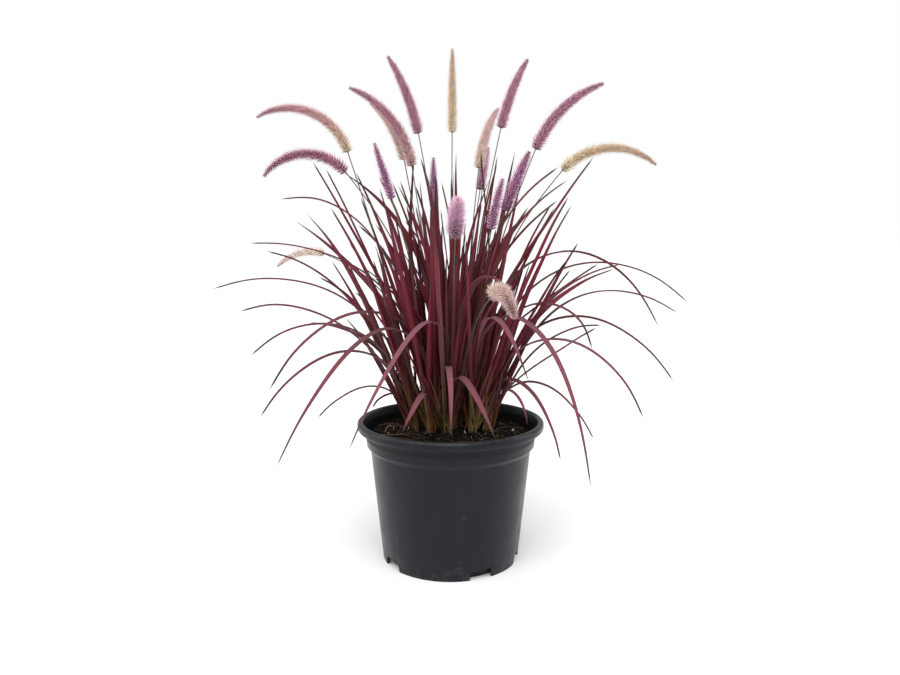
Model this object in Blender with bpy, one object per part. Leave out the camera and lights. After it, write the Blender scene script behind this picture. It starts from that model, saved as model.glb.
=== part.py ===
"""Potted fountain grass clump: a nursery pot of soil with leafy shoots and bristly flower spikes.

Metres, +Z up.  The origin is on the pot's axis at the surface that the pot stands on.
+X is to the right, -Y is the front.  Bearings are degrees from +X towards +Y (the back).
"""

import math
import random
from collections import namedtuple

import bmesh
import bpy
from mathutils import Vector, noise
from mathutils.bvhtree import BVHTree

# Pot
POT_HEIGHT = 0.170
RIM_RADIUS = 0.1125
MOUTH_RADIUS = 0.1048
LIP_DEPTH = 0.0125
COLLAR_TOP_RADIUS = 0.1015
COLLAR_FOOT_RADIUS = 0.0992
COLLAR_FOOT = 0.1370
LEDGE = 0.1315
BODY_TOP_RADIUS = 0.0950
FOOT_RADIUS = 0.0828
WALL = 0.0018
SKIRT_WALL = 0.0030
DISC_RADIUS = 0.054
CHANNEL_RADIUS = 0.058
CHANNEL_RISE = 0.008
LIP_RISE = 0.0035
LIP_STEPS = 6
LIP_FOOT_DEPTH = 0.0015
LIP_FOOT_RISE = 0.0025
POT_SIDES = 32
SHARP_ANGLE = 35

# Foot notches, one bearing each, under the wall
NOTCH_BEARINGS = (-146, -65, -15, 34, 115, 165)
NOTCH_WIDTH = 0.030
NOTCH_HEIGHT = 0.0075
NOTCH_MIDDLE = 0.0805
NOTCH_DEPTH = 0.012
NOTCH_TOP = 0.86

# Soil
GAP = 0.0003
SOIL_LEVEL = 0.1550
SOIL_DIP = 0.0035
SOIL_GRAIN = 0.018
SOIL_RINGS = (0.85, 0.62, 0.36)

# Clump: the shoots stand on three oval rings round its centre
CLUMP_CENTRE = (0.0, 0.032)
CLUMP_HALF_SIZE = (0.050, 0.034)
SHOOT_RINGS = ((2, 0.18), (7, 0.55), (12, 1.0))
CROWN_RADIUS = 0.0042
CROWN_HEIGHT = 0.012
CROWN_SIDES = 6
CROWN_TAPER = 0.12
LEAVES_PER_SHOOT = 5
FACE_CHOICES = 4

# Leaf section and outline
LEAF_WIDTH = 0.0074
LEAF_KEEL = 0.0011
LEAF_FOOT_WIDTH = 0.42
LEAF_ROLL = 35
LEAF_RINGS = (0.07, 0.24, 0.42, 0.60, 0.76, 0.89)
SPINE_STEPS = 60

# Flower stems and spikes
STEM_RADIUS = 0.0011
STEM_TOP_RADIUS = 0.0008
STEM_SIDES = 5
STEM_RINGS = 5
SPIKE_SIDES = 6
SPIKE_OUTLINE = (
    (0.0, 0.45), (0.05, 0.86), (0.16, 1.0), (0.36, 0.88), (0.58, 0.68), (0.80, 0.42), (0.94, 0.2),
)

Leaf = namedtuple("Leaf", "shoot bearing lean tip_lean length bend")
GrownLeaf = namedtuple("GrownLeaf", "face rings tip whole trees")
Flower = namedtuple("Flower", "bearing reach lean top_lean tip_lean stem spike radius")

# The long leaves that arch clear of the clump, each from its shoot: its bearing, its lean from
# upright at the foot and at the tip (degrees), its length (m), and how far along it bends most.
LONG_LEAVES = (
    # to the left, from the highest arch down
    Leaf(6, 182, 25, 110, 0.360, 0.75),
    Leaf(4, 166, 15, 93, 0.385, 0.60),
    Leaf(13, 172, 2, 103, 0.380, 1.20),
    Leaf(5, 180, 10, 30, 0.355, 0.30),
    Leaf(6, 190, 35, 112, 0.295, 1.20),
    Leaf(16, 206, 0, 150, 0.340, 0.55),
    Leaf(5, 196, 27, 136, 0.290, 0.80),
    Leaf(5, 214, 29, 144, 0.290, 0.60),
    Leaf(16, 234, 0, 142, 0.385, 0.40),
    Leaf(15, 190, 23, 138, 0.160, 0.50),
    Leaf(14, 200, 2, 150, 0.085, 0.65),
    Leaf(4, 170, 0, 59, 0.360, 0.80),
    Leaf(13, 170, 11, 28, 0.340, 0.50),
    Leaf(12, 165, 17, 21, 0.300, 0.60),
    Leaf(14, 185, 0, 53, 0.305, 0.50),
    # to the right, from the highest arch down
    Leaf(2, 5, 15, 134, 0.415, 0.70),
    Leaf(9, 20, 0, 152, 0.465, 0.60),
    Leaf(8, 5, 0, 36, 0.370, 0.30),
    Leaf(20, 0, 12, 29, 0.290, 0.60),
    Leaf(2, -6, 4, 60, 0.270, 0.30),
    Leaf(9, 28, 30, 118, 0.405, 0.60),
    Leaf(20, -4, 11, 145, 0.340, 0.55),
    Leaf(8, -25, 22, 157, 0.310, 0.60),
    Leaf(8, -5, 37, 59, 0.195, 0.40),
    Leaf(20, -30, 0, 170, 0.280, 0.90),
    Leaf(19, -10, 20, 153, 0.195, 0.45),
    Leaf(19, -36, 0, 165, 0.205, 0.40),
    Leaf(19, -52, 11, 172, 0.130, 0.65),
    Leaf(9, 15, 2, 29, 0.290, 0.65),
    # towards the front
    Leaf(7, 251, -3, 126, 0.415, 0.35),
    Leaf(16, 257, 0, 113, 0.170, 0.30),
    Leaf(17, 273, 0, 155, 0.220, 0.50),
    Leaf(17, 286, 0, 123, 0.225, 0.35),
    Leaf(18, 283, 0, 127, 0.330, 0.50),
    Leaf(7, 292, 0, 145, 0.325, 0.90),
    Leaf(18, -56, -2, 168, 0.410, 0.45),
    # upright, from the middle of the clump
    Leaf(0, 160, 5, 30, 0.320, 0.30),
    Leaf(1, 175, 8, 24, 0.330, 0.30),
    Leaf(4, 150, 8, 35, 0.325, 1.25),
    Leaf(12, 120, 25, -11, 0.360, 0.60),
    Leaf(1, 150, 0, 17, 0.330, 0.65),
    Leaf(11, 140, 0, 24, 0.340, 1.10),
    Leaf(3, 92, 10, 2, 0.345, 0.95),
    Leaf(2, 51, 20, -10, 0.345, 0.40),
    Leaf(1, 40, 18, 15, 0.355, 1.25),
    Leaf(3, 50, 0, 55, 0.370, 0.85),
    Leaf(10, 40, 2, 21, 0.330, 1.75),
    Leaf(0, 20, 16, 15, 0.345, 0.80),
    Leaf(10, 20, 2, 58, 0.360, 0.75),
    Leaf(3, 10, 2, 52, 0.320, 0.70),
    Leaf(8, 5, 0, 27, 0.290, 0.30),
)

# Flower spikes: bearing, how far out the stem stands (1 = the clump's edge), the stem's lean at
# its foot and top and the spike's at its tip (degrees), then stem length, spike length and radius.
FLOWERS = (
    Flower(175, 0.78, 10, 19, 121, 0.346, 0.137, 0.0060),
    Flower(188, 0.78, -10, 42, 147, 0.332, 0.110, 0.0062),
    Flower(168, 0.30, 2, 10, 70, 0.320, 0.129, 0.0062),
    Flower(146, 0.78, -4, 15, 57, 0.331, 0.092, 0.0060),
    Flower(150, 0.30, -4, 14, 36, 0.361, 0.106, 0.0060),
    Flower(88, 0.30, 5, 8, 0, 0.366, 0.104, 0.0056),
    Flower(40, 0.30, 4, 17, 38, 0.376, 0.101, 0.0060),
    Flower(60, 0.78, -2, 14, 53, 0.322, 0.098, 0.0062),
    Flower(15, 0.30, 7, 24, 71, 0.354, 0.125, 0.0066),
    Flower(8, 0.78, -8, 44, 130, 0.341, 0.133, 0.0060),
    Flower(200, 0.30, 6, 18, 18, 0.284, 0.067, 0.0050),
    Flower(-20, 0.30, 2, 21, 26, 0.270, 0.074, 0.0070),
    Flower(58, 0.30, 4, 18, 24, 0.299, 0.058, 0.0056),
    Flower(-40, 0.30, 11, 11, 20, 0.246, 0.060, 0.0056),
    Flower(115, 0.30, 6, 8, -4, 0.274, 0.060, 0.0050),
    Flower(271, 0.78, 25, 57, 85, 0.315, 0.085, 0.0068),
    Flower(279, 0.78, 25, 75, 125, 0.290, 0.082, 0.0068),
    Flower(152, 0.78, -5, 78, 130, 0.285, 0.085, 0.0052),
)


def clear_scene():
    for thing in list(bpy.data.objects):
        bpy.data.objects.remove(thing, do_unlink=True)


def make_material(name, colour, roughness, metallic=0.0):
    material = bpy.data.materials.new(name)
    material.use_nodes = True
    shader = material.node_tree.nodes["Principled BSDF"]
    shader.inputs["Base Color"].default_value = (*colour, 1.0)
    shader.inputs["Roughness"].default_value = roughness
    shader.inputs["Metallic"].default_value = metallic
    return material


def add_object(name, mesh_maker, material):
    """A bmesh as a named object with one material."""
    mesh = bpy.data.meshes.new(name)
    mesh_maker.to_mesh(mesh)
    mesh_maker.free()
    mesh.materials.append(material)
    thing = bpy.data.objects.new(name, mesh)
    bpy.context.collection.objects.link(thing)
    return thing


def turned(profile, sides):
    """A closed profile of (radius, height) points spun round Z; points on the axis become poles."""
    shape = bmesh.new()
    rings = []
    for radius, height in profile:
        if radius == 0.0:
            rings.append([shape.verts.new((0.0, 0.0, height))])
            continue
        turns = [math.tau * side / sides for side in range(sides)]
        points = [(radius * math.cos(a), radius * math.sin(a), height) for a in turns]
        rings.append([shape.verts.new(point) for point in points])
    for low, high in zip(rings, rings[1:]):
        for side in range(sides):
            after = (side + 1) % sides
            below = [low[side % len(low)], low[after % len(low)]]
            above = [high[after % len(high)], high[side % len(high)]]
            shape.faces.new(list(dict.fromkeys(below + above)))
    bmesh.ops.recalc_face_normals(shape, faces=shape.faces)
    return shape


def lip_arc():
    """The rolled lip's top, from its outer edge over to the mouth."""
    half_width = (RIM_RADIUS - MOUTH_RADIUS) / 2
    middle = RIM_RADIUS - half_width
    for step in range(LIP_STEPS + 1):
        turn = math.pi * step / LIP_STEPS
        yield middle + half_width * math.cos(turn), POT_HEIGHT + LIP_RISE * (math.sin(turn) - 1)


def pot_profile():
    """Half-section from the underside's middle, out and up the wall, over the lip and down inside."""
    inner_ledge = BODY_TOP_RADIUS - WALL
    inner_foot = FOOT_RADIUS - SKIRT_WALL
    lip_foot = POT_HEIGHT - LIP_DEPTH
    points = [(0.0, 0.0), (DISC_RADIUS, 0.0), (CHANNEL_RADIUS, CHANNEL_RISE)]
    points += [(inner_foot, CHANNEL_RISE), (inner_foot, 0.0), (FOOT_RADIUS, 0.0)]
    points += [(BODY_TOP_RADIUS, LEDGE), (COLLAR_FOOT_RADIUS, COLLAR_FOOT), (COLLAR_TOP_RADIUS, lip_foot)]
    points += [(RIM_RADIUS - LIP_FOOT_DEPTH, lip_foot), (RIM_RADIUS, lip_foot + LIP_FOOT_RISE)]
    points += list(lip_arc())
    points += [(COLLAR_TOP_RADIUS - WALL, lip_foot), (COLLAR_FOOT_RADIUS - WALL, COLLAR_FOOT)]
    points += [(inner_ledge, LEDGE), (inner_foot, CHANNEL_RISE + WALL)]
    points += [(CHANNEL_RADIUS, CHANNEL_RISE + WALL), (DISC_RADIUS, WALL), (0.0, WALL)]
    return points


def add_notch_cutters():
    """A wedge-sided block under the wall for each foot notch."""
    cutters = bpy.data.collections.new("notch_cutters")
    bpy.context.scene.collection.children.link(cutters)
    for number, bearing in enumerate(NOTCH_BEARINGS):
        shape = bmesh.new()
        bmesh.ops.create_cube(shape, size=1.0)
        for corner in shape.verts:
            corner.co.y *= NOTCH_WIDTH * (1.0 if corner.co.z < 0 else NOTCH_TOP)
            corner.co.x = NOTCH_MIDDLE + corner.co.x * NOTCH_DEPTH
            corner.co.z = NOTCH_HEIGHT * 2 * corner.co.z
        mesh = bpy.data.meshes.new(f"notch_cutter_{number}")
        shape.to_mesh(mesh)
        shape.free()
        cutter = bpy.data.objects.new(f"notch_cutter_{number}", mesh)
        cutter.rotation_euler.z = math.radians(bearing)
        cutter.hide_render = True
        cutter.display_type = "WIRE"
        cutters.objects.link(cutter)
    return cutters


def add_pot():
    plastic = make_material("pot_plastic", (0.030, 0.033, 0.037), 0.42)
    pot = add_object("pot", turned(pot_profile(), POT_SIDES), plastic)
    cut = pot.modifiers.new("notches", "BOOLEAN")
    cut.operand_type = "COLLECTION"
    cut.collection = add_notch_cutters()
    cut.operation = "DIFFERENCE"
    cut.solver = "EXACT"
    pot.data.shade_smooth()
    pot.data.set_sharp_from_angle(angle=math.radians(SHARP_ANGLE))
    return pot


def wall_inside(height):
    """The pot's inner radius at a height above the floor channel."""
    stops = ((CHANNEL_RISE, FOOT_RADIUS - SKIRT_WALL), (LEDGE, BODY_TOP_RADIUS - WALL))
    stops += ((COLLAR_FOOT, COLLAR_FOOT_RADIUS - WALL), (POT_HEIGHT - LIP_DEPTH, COLLAR_TOP_RADIUS - WALL))
    for (low, narrow), (high, wide) in zip(stops, stops[1:]):
        if height <= high:
            return narrow + (wide - narrow) * (height - low) / (high - low)
    return stops[-1][1]


def add_soil():
    """The root ball: a plug with a crumbly top that dips between the lumps."""
    floor = CHANNEL_RISE + WALL + GAP
    gap = 2 * GAP
    sides = [(DISC_RADIUS - 0.001, WALL + GAP), (CHANNEL_RADIUS, floor + GAP)]
    sides += [(wall_inside(z) - gap, z) for z in (floor + GAP, LEDGE, COLLAR_FOOT, SOIL_LEVEL)]
    edge = sides[-1][0]
    top = [(edge * share, SOIL_LEVEL) for share in SOIL_RINGS]
    shape = turned([(0.0, WALL + GAP)] + sides + top + [(0.0, SOIL_LEVEL)], POT_SIDES)
    for corner in shape.verts:
        if corner.co.z > SOIL_LEVEL - GAP:
            lump = noise.noise(Vector((corner.co.x, corner.co.y, 0.3)) / SOIL_GRAIN)
            corner.co.z -= SOIL_DIP * min(1.0, max(0.0, 0.5 + lump))
    return add_object("soil", shape, make_material("soil_mix", (0.020, 0.014, 0.010), 0.95))


def shoot_feet():
    """Where each shoot stands, on the rings, a little out of step as in a grown clump."""
    draw = random.Random(7)
    feet = []
    for ring, (count, reach) in enumerate(SHOOT_RINGS):
        for number in range(count):
            turn = math.tau * (number + 0.5 * ring) / count + draw.uniform(-0.12, 0.12)
            feet.append(clump_point(turn, reach * draw.uniform(0.92, 1.05)))
    return feet


def clump_point(turn, reach):
    """A point on the soil at a turn round the clump's centre; reach 1 is the clump's edge."""
    x = CLUMP_CENTRE[0] + CLUMP_HALF_SIZE[0] * reach * math.cos(turn)
    y = CLUMP_CENTRE[1] + CLUMP_HALF_SIZE[1] * reach * math.sin(turn)
    return Vector((x, y, SOIL_LEVEL + GAP))


def outward(bearing):
    return Vector((math.cos(math.radians(bearing)), math.sin(math.radians(bearing)), 0.0))


def spine(foot, bearing, leans, length):
    """Points and directions along a stalk that starts at foot; leans gives its angle from upright."""
    out = outward(bearing)
    place = foot.copy()
    walk = []
    for step in range(SPINE_STEPS + 1):
        lean = math.radians(leans(step / SPINE_STEPS))
        along = out * math.sin(lean) + Vector((0.0, 0.0, math.cos(lean)))
        walk.append((place.copy(), along))
        place += along * (length / SPINE_STEPS)
    return walk


def at(walk, share):
    return walk[round(share * SPINE_STEPS)]


def even_lean(low, high):
    """A lean that grows evenly from one end to the other."""
    return lambda share: low + (high - low) * share


def leaf_lean(leaf):
    """The leaf's lean along its length: an S that is steepest near leaf.bend."""

    def lean(share):
        blend = share**3 / (share**3 + leaf.bend**3) * (1 + leaf.bend**3)
        return leaf.lean + (leaf.tip_lean - leaf.lean) * blend

    return lean


def leaf_width(share):
    """Narrow in the sheath, broadest before the middle, then a long taper to the point."""
    return LEAF_WIDTH * min(1.0, LEAF_FOOT_WIDTH + 1.7 * share) * (1.0 - share**1.8)


def leaf_rings(foot, leaf, roll):
    """Three-cornered rings along the leaf, two edges and the keel below, and then its tip."""
    walk = spine(foot, leaf.bearing, leaf_lean(leaf), leaf.length)
    across = Vector((0.0, 0.0, 1.0)).cross(outward(leaf.bearing))
    rings = []
    for share in LEAF_RINGS:
        middle, along = at(walk, share)
        twist = roll * min(1.0, 3.0 * share)
        side = across * math.cos(twist) + along.cross(across) * math.sin(twist)
        keel = along.cross(side) * LEAF_KEEL
        half = side * (leaf_width(share) / 2)
        rings.append([middle + half - keel * 0.4, middle - half - keel * 0.4, middle + keel])
    return rings, walk[-1][0]


def prism_faces(count):
    """Faces of three-cornered rings joined end to end, as corner numbers, closed by the tip."""
    faces = []
    for ring in range(count - 1):
        base = 3 * ring
        for side in range(3):
            after = (side + 1) % 3
            faces.append((base + side, base + after, base + 3 + after, base + 3 + side))
    last = 3 * (count - 1)
    faces += [(last + side, last + (side + 1) % 3, last + 3) for side in range(3)]
    return faces


def leaf_tree(rings, tip, margin=GAP):
    corners = [corner for ring in rings for corner in ring] + [tip]
    return BVHTree.FromPolygons(corners, prism_faces(len(rings)), epsilon=margin)


def object_tree(thing, margin=GAP):
    corners = [corner.co.copy() for corner in thing.data.vertices]
    faces = [tuple(face.vertices) for face in thing.data.polygons]
    return BVHTree.FromPolygons(corners, faces, epsilon=margin)


def tube(walk, outline, sides):
    """Rings along a walk, one for each (share, radius) of the outline, open at the far end."""
    shape = bmesh.new()
    across = walk[0][1].orthogonal().normalized()
    turns = [math.tau * corner / sides for corner in range(sides)]
    loops = []
    for share, radius in outline:
        middle, along = at(walk, share)
        side = (across - along * across.dot(along)).normalized()
        up = along.cross(side)
        points = [middle + (side * math.cos(a) + up * math.sin(a)) * radius for a in turns]
        loops.append([shape.verts.new(point) for point in points])
    for low, high in zip(loops, loops[1:]):
        for side in range(sides):
            after = (side + 1) % sides
            shape.faces.new((low[side], low[after], high[after], high[side]))
    shape.faces.new(list(reversed(loops[0])))
    return shape, loops[-1]


def stem_shape(walk):
    """A round stalk that thins towards its top, flat at both ends."""
    shares = [ring / (STEM_RINGS - 1) for ring in range(STEM_RINGS)]
    outline = [(share, STEM_RADIUS + (STEM_TOP_RADIUS - STEM_RADIUS) * share) for share in shares]
    shape, end = tube(walk, outline, STEM_SIDES)
    shape.faces.new(end)
    bmesh.ops.recalc_face_normals(shape, faces=shape.faces)
    return shape


def spike_shape(walk, radius):
    """A spindle that reaches the bristle tips, closed to a point at its end."""
    outline = [(share, radius * fullness) for share, fullness in SPIKE_OUTLINE]
    shape, end = tube(walk, outline, SPIKE_SIDES)
    tip = shape.verts.new(walk[-1][0])
    for side in range(SPIKE_SIDES):
        shape.faces.new((end[side], end[(side + 1) % SPIKE_SIDES], tip))
    bmesh.ops.recalc_face_normals(shape, faces=shape.faces)
    return shape


def add_flowers():
    """Each flower's stem from the soil and its spike just above the stem's end."""
    green = make_material("stem_green", (0.16, 0.15, 0.10), 0.55)
    mauve = make_material("spike_mauve", (0.32, 0.10, 0.17), 0.8)
    trees = []
    for number, flower in enumerate(FLOWERS, start=1):
        foot = clump_point(math.radians(flower.bearing), flower.reach)
        stem_walk = spine(foot, flower.bearing, even_lean(flower.lean, flower.top_lean), flower.stem)
        top, along = stem_walk[-1]
        spike_lean = even_lean(flower.top_lean, flower.tip_lean)
        spike_walk = spine(top + along * GAP, flower.bearing, spike_lean, flower.spike)
        stem = add_object(f"flower_stem_{number:02d}", stem_shape(stem_walk), green)
        spike = add_object(f"flower_spike_{number:02d}", spike_shape(spike_walk, flower.radius), mauve)
        trees += [object_tree(stem), object_tree(spike)]
    return trees


def short_leaves():
    """The upright leaves that fill the shoots: near the middle straight, near the edge leaning out."""
    draw = random.Random(21)
    leaves = []
    for number, foot in enumerate(shoot_feet()):
        grown = sum(1 for leaf in LONG_LEAVES if leaf.shoot == number)
        x = (foot.x - CLUMP_CENTRE[0]) / CLUMP_HALF_SIZE[0]
        y = (foot.y - CLUMP_CENTRE[1]) / CLUMP_HALF_SIZE[1]
        reach = math.hypot(x, y)
        facing = math.degrees(math.atan2(y, x))
        for _ in range(LEAVES_PER_SHOOT - grown):
            bearing = facing + draw.uniform(-40, 40)
            lean = 4 + 20 * reach * draw.uniform(0.5, 1.1)
            tip_lean = lean + draw.choice((4, 12, 25, 60)) * draw.uniform(0.7, 1.2)
            length = draw.uniform(0.23, 0.34) - 0.03 * reach
            leaves.append(Leaf(number, bearing, lean, tip_lean, length, draw.uniform(0.6, 1.2)))
    return leaves


def nudges():
    """Small changes of bearing and lean, from none upwards, that a crowded leaf may take."""
    turns = (0, 2, -2, 4, -4, 7, -7, 10, -10, 14, -14, 20, -20, 28, -28)
    leans = (0, 1, -1, 2, -2, 4, -4)
    ways = [(turn, lean) for turn in turns for lean in leans]
    return sorted(ways, key=lambda way: abs(way[0]) + 2 * abs(way[1]))


def grow(shape, face, rings, tip):
    """Extrudes a crown triangle along the leaf's rings and closes it at the tip."""
    loop = list(face.verts)
    shape.faces.remove(face)
    for ring in rings:
        fresh = [shape.verts.new(point) for point in ring]
        order = best_order(loop, ring)
        fresh = [fresh[index] for index in order]
        for side in range(3):
            after = (side + 1) % 3
            shape.faces.new((loop[side], loop[after], fresh[after], fresh[side]))
        loop = fresh
    end = shape.verts.new(tip)
    for side in range(3):
        shape.faces.new((loop[side], loop[(side + 1) % 3], end))


def best_order(loop, ring):
    """The turn of a ring's corners that joins it to the loop with the least twist."""
    orders = ((0, 1, 2), (1, 2, 0), (2, 0, 1), (0, 2, 1), (2, 1, 0), (1, 0, 2))
    middle = sum((corner.co for corner in loop), Vector()) / 3
    centre = sum(ring, Vector()) / 3

    def twist(order):
        return sum(((ring[i] - centre) - (corner.co - middle)).length for i, corner in zip(order, loop))

    facing = (loop[1].co - loop[0].co).cross(loop[2].co - loop[0].co).dot(centre - middle)

    def same_way(order):
        a, b, c = (ring[i] for i in order)
        return (b - a).cross(c - a).dot(centre - middle) * facing > 0

    return min((order for order in orders if same_way(order)), key=twist)


def crown(foot):
    """A shoot's stubby base, wider low down, with triangulated sides for the leaves to leave from."""
    shape = bmesh.new()
    heights = (0.0, CROWN_HEIGHT * 0.5, CROWN_HEIGHT)
    loops = []
    for level, height in enumerate(heights):
        radius = CROWN_RADIUS * (1.0 - CROWN_TAPER * level)
        turns = [math.tau * (side + 0.5 * level) / CROWN_SIDES for side in range(CROWN_SIDES)]
        points = [foot + Vector((radius * math.cos(a), radius * math.sin(a), height)) for a in turns]
        loops.append([shape.verts.new(point) for point in points])
    for low, high in zip(loops, loops[1:]):
        for side in range(CROWN_SIDES):
            after = (side + 1) % CROWN_SIDES
            shape.faces.new((low[side], low[after], high[side]))
            shape.faces.new((high[side], low[after], high[after]))
    shape.faces.new(list(reversed(loops[0])))
    tip = shape.verts.new(foot + Vector((0.0, 0.0, CROWN_HEIGHT * 1.25)))
    for side in range(CROWN_SIDES):
        shape.faces.new((loops[-1][side], loops[-1][(side + 1) % CROWN_SIDES], tip))
    bmesh.ops.recalc_face_normals(shape, faces=shape.faces)
    shape.faces.index_update()
    shape.faces.ensure_lookup_table()
    return shape


def free_faces(shape, leaf, taken):
    """The crown triangles that look most along the leaf; the more upright the leaf, the higher up."""
    start = outward(leaf.bearing) * math.sin(math.radians(max(leaf.lean, 12)))
    start.z = 0.35 * math.cos(math.radians(leaf.lean))
    free = [face for face in shape.faces if face.normal.z > -0.5 and face.index not in taken]
    return sorted(free, key=lambda face: -face.normal.dot(start))[:FACE_CHOICES]


def fit_leaf(leaf, shape, taken, roll, others, own, skipped):
    """The leaf grown from a free crown triangle, turned if need be until nothing is in its way.

    Leaves of one shoot may press together in their first skipped rings, as sheaths do.
    """
    for turn, lean in nudges():
        trial = leaf._replace(
            bearing=leaf.bearing + turn, lean=leaf.lean + lean, tip_lean=leaf.tip_lean + lean
        )
        for face in free_faces(shape, leaf, taken):
            corners = [corner.co.copy() for corner in face.verts]
            start = face.calc_center_median()
            start.z = SOIL_LEVEL
            rings, tip = leaf_rings(start, trial, roll)
            trees = [leaf_tree(rings[first:], tip) for first in range(2)]
            if any(trees[skipped].overlap(other.trees[skipped]) for other in own):
                continue
            whole = leaf_tree([corners] + rings, tip)
            if not any(whole.overlap(tree) for tree in others):
                return GrownLeaf(face.index, rings, tip, whole, trees)
    return None


def place_leaves(crowns, blocked):
    """Fits the long leaves first and then the short ones; a short leaf with no room isn't grown."""
    draw = random.Random(5)
    grown = [[] for _ in crowns]
    for leaf in LONG_LEAVES + tuple(short_leaves()):
        here = grown[leaf.shoot]
        elsewhere = [leaves for shoot, leaves in enumerate(grown) if shoot != leaf.shoot]
        others = blocked + [other.whole for leaves in elsewhere for other in leaves]
        taken = {other.face for other in here}
        roll = math.radians(draw.uniform(-LEAF_ROLL, LEAF_ROLL))
        fitted = fit_leaf(leaf, crowns[leaf.shoot], taken, roll, others, here, 0)
        if not fitted and leaf in LONG_LEAVES:
            fitted = fit_leaf(leaf, crowns[leaf.shoot], taken, roll, others, here, 1)
        if fitted:
            here.append(fitted)
        elif leaf in LONG_LEAVES:
            raise RuntimeError(f"no room for {leaf}")
    return grown


def add_shoots(blocked):
    """Each shoot as one body: its crown and the leaves grown from it."""
    burgundy = make_material("shoot_burgundy", (0.14, 0.035, 0.055), 0.5)
    crowns = [crown(foot) for foot in shoot_feet()]
    for number, leaves in enumerate(place_leaves(crowns, blocked), start=1):
        shape = crowns[number - 1]
        starts = [shape.faces[leaf.face] for leaf in leaves]
        for start, leaf in zip(starts, leaves):
            grow(shape, start, leaf.rings, leaf.tip)
        bmesh.ops.recalc_face_normals(shape, faces=shape.faces)
        add_object(f"shoot_{number:02d}", shape, burgundy)


def main():
    clear_scene()
    pot = add_pot()
    soil = add_soil()
    add_shoots([object_tree(pot), object_tree(soil)] + add_flowers())


main()
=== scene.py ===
import math
import random
from contextlib import contextmanager

import bmesh
import bpy
import numpy as np
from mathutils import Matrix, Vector, noise


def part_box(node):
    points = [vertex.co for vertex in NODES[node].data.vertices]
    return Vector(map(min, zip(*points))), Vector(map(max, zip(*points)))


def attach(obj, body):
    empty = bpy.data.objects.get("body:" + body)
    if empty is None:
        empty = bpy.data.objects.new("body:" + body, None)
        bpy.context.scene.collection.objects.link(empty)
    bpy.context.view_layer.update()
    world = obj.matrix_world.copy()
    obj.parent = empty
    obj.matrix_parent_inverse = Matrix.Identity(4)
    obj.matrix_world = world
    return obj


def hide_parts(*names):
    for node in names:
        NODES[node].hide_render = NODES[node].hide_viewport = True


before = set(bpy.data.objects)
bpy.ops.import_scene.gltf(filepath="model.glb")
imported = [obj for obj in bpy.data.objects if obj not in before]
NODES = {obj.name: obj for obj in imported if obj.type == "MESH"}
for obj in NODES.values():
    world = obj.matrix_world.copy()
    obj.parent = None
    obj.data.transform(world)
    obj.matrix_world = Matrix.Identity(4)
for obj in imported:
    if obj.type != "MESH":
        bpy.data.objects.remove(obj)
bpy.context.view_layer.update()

bl_info = {
    "name": "Potted fountain grass",
    "version": (1, 0, 0),
    "blender": (4, 5, 0),
    "location": "View3D > Sidebar > Fountain grass",
    "description": "Burgundy fountain grass with bristly spikes in a nursery pot",
    "category": "Object",
}

SHOOTS = sorted(name for name in NODES if name.startswith("shoot_"))
STEMS = sorted(name for name in NODES if name.startswith("flower_stem_"))
SPIKES = sorted(name for name in NODES if name.startswith("flower_spike_"))
POT_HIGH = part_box("pot")[1].z
RIM_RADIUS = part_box("pot")[1].x
SOIL_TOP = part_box("soil")[1].z
UP = np.array((0.0, 0.0, 1.0))


# ---------------- settings


def length_setting(name, description, default):
    return bpy.props.FloatProperty(name=name, description=description, default=default, unit="LENGTH")


def plain_setting(name, description, default):
    return bpy.props.FloatProperty(name=name, description=description, default=default)


def count_setting(name, description, default):
    return bpy.props.IntProperty(name=name, description=description, default=default)


def colour_setting(name, description, default):
    return bpy.props.FloatVectorProperty(
        name=name, description=description, default=default, size=3, subtype="COLOR"
    )


class PotSettings(bpy.types.PropertyGroup):
    rim_radius: length_setting("Rim radius", "Outer radius of the rolled rim", RIM_RADIUS)
    collar_radius: length_setting("Collar radius", "Radius of the collar under the rim", 0.1035)
    body_radius: length_setting("Body radius", "Radius of the wall under the ledge", 0.0968)
    foot_radius: length_setting("Foot radius", "Radius of the wall at the ground", 0.0828)
    wall: length_setting("Wall", "Thickness of the moulded wall", 0.0018)
    edge: length_setting("Edge rounding", "Radius on the moulded edges", 0.0006)
    colour: colour_setting("Colour", "Colour of the plastic", (0.0070, 0.0084, 0.0112))


class SoilSettings(bpy.types.PropertyGroup):
    lumps: count_setting("Lumps", "Loose crumbs on the soil", 2200)
    fibres: count_setting("Fibres", "Loose fibres on the soil", 300)
    grains: count_setting("Perlite grains", "White grains on the soil", 26)
    relief: length_setting("Relief", "Depth of the hollows in the soil", 0.0070)
    colour: colour_setting("Colour", "Colour of the moist mix", (0.0042, 0.0030, 0.0022))


class BladeSettings(bpy.types.PropertyGroup):
    width: length_setting("Blade width", "Width of a blade where it is broadest", 0.0096)
    inner: count_setting("Inner blades", "Finer blades added inside each shoot", 3)
    sheaths: count_setting("Sheaths", "Short sheaths round the foot of each shoot", 7)
    foot_colour: colour_setting("Foot colour", "Olive colour at the foot", (0.270, 0.225, 0.080))
    rust_colour: colour_setting("Rust colour", "Orange-red colour of some sheaths", (0.40, 0.095, 0.050))
    blade_colour: colour_setting("Blade colour", "Burgundy of the blades", (0.140, 0.0130, 0.0260))
    dark_colour: colour_setting("Dark colour", "Colour of the darkest blades", (0.036, 0.018, 0.010))
    tip_colour: colour_setting("Tip colour", "Grey of the dry tips", (0.066, 0.050, 0.052))


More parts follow.
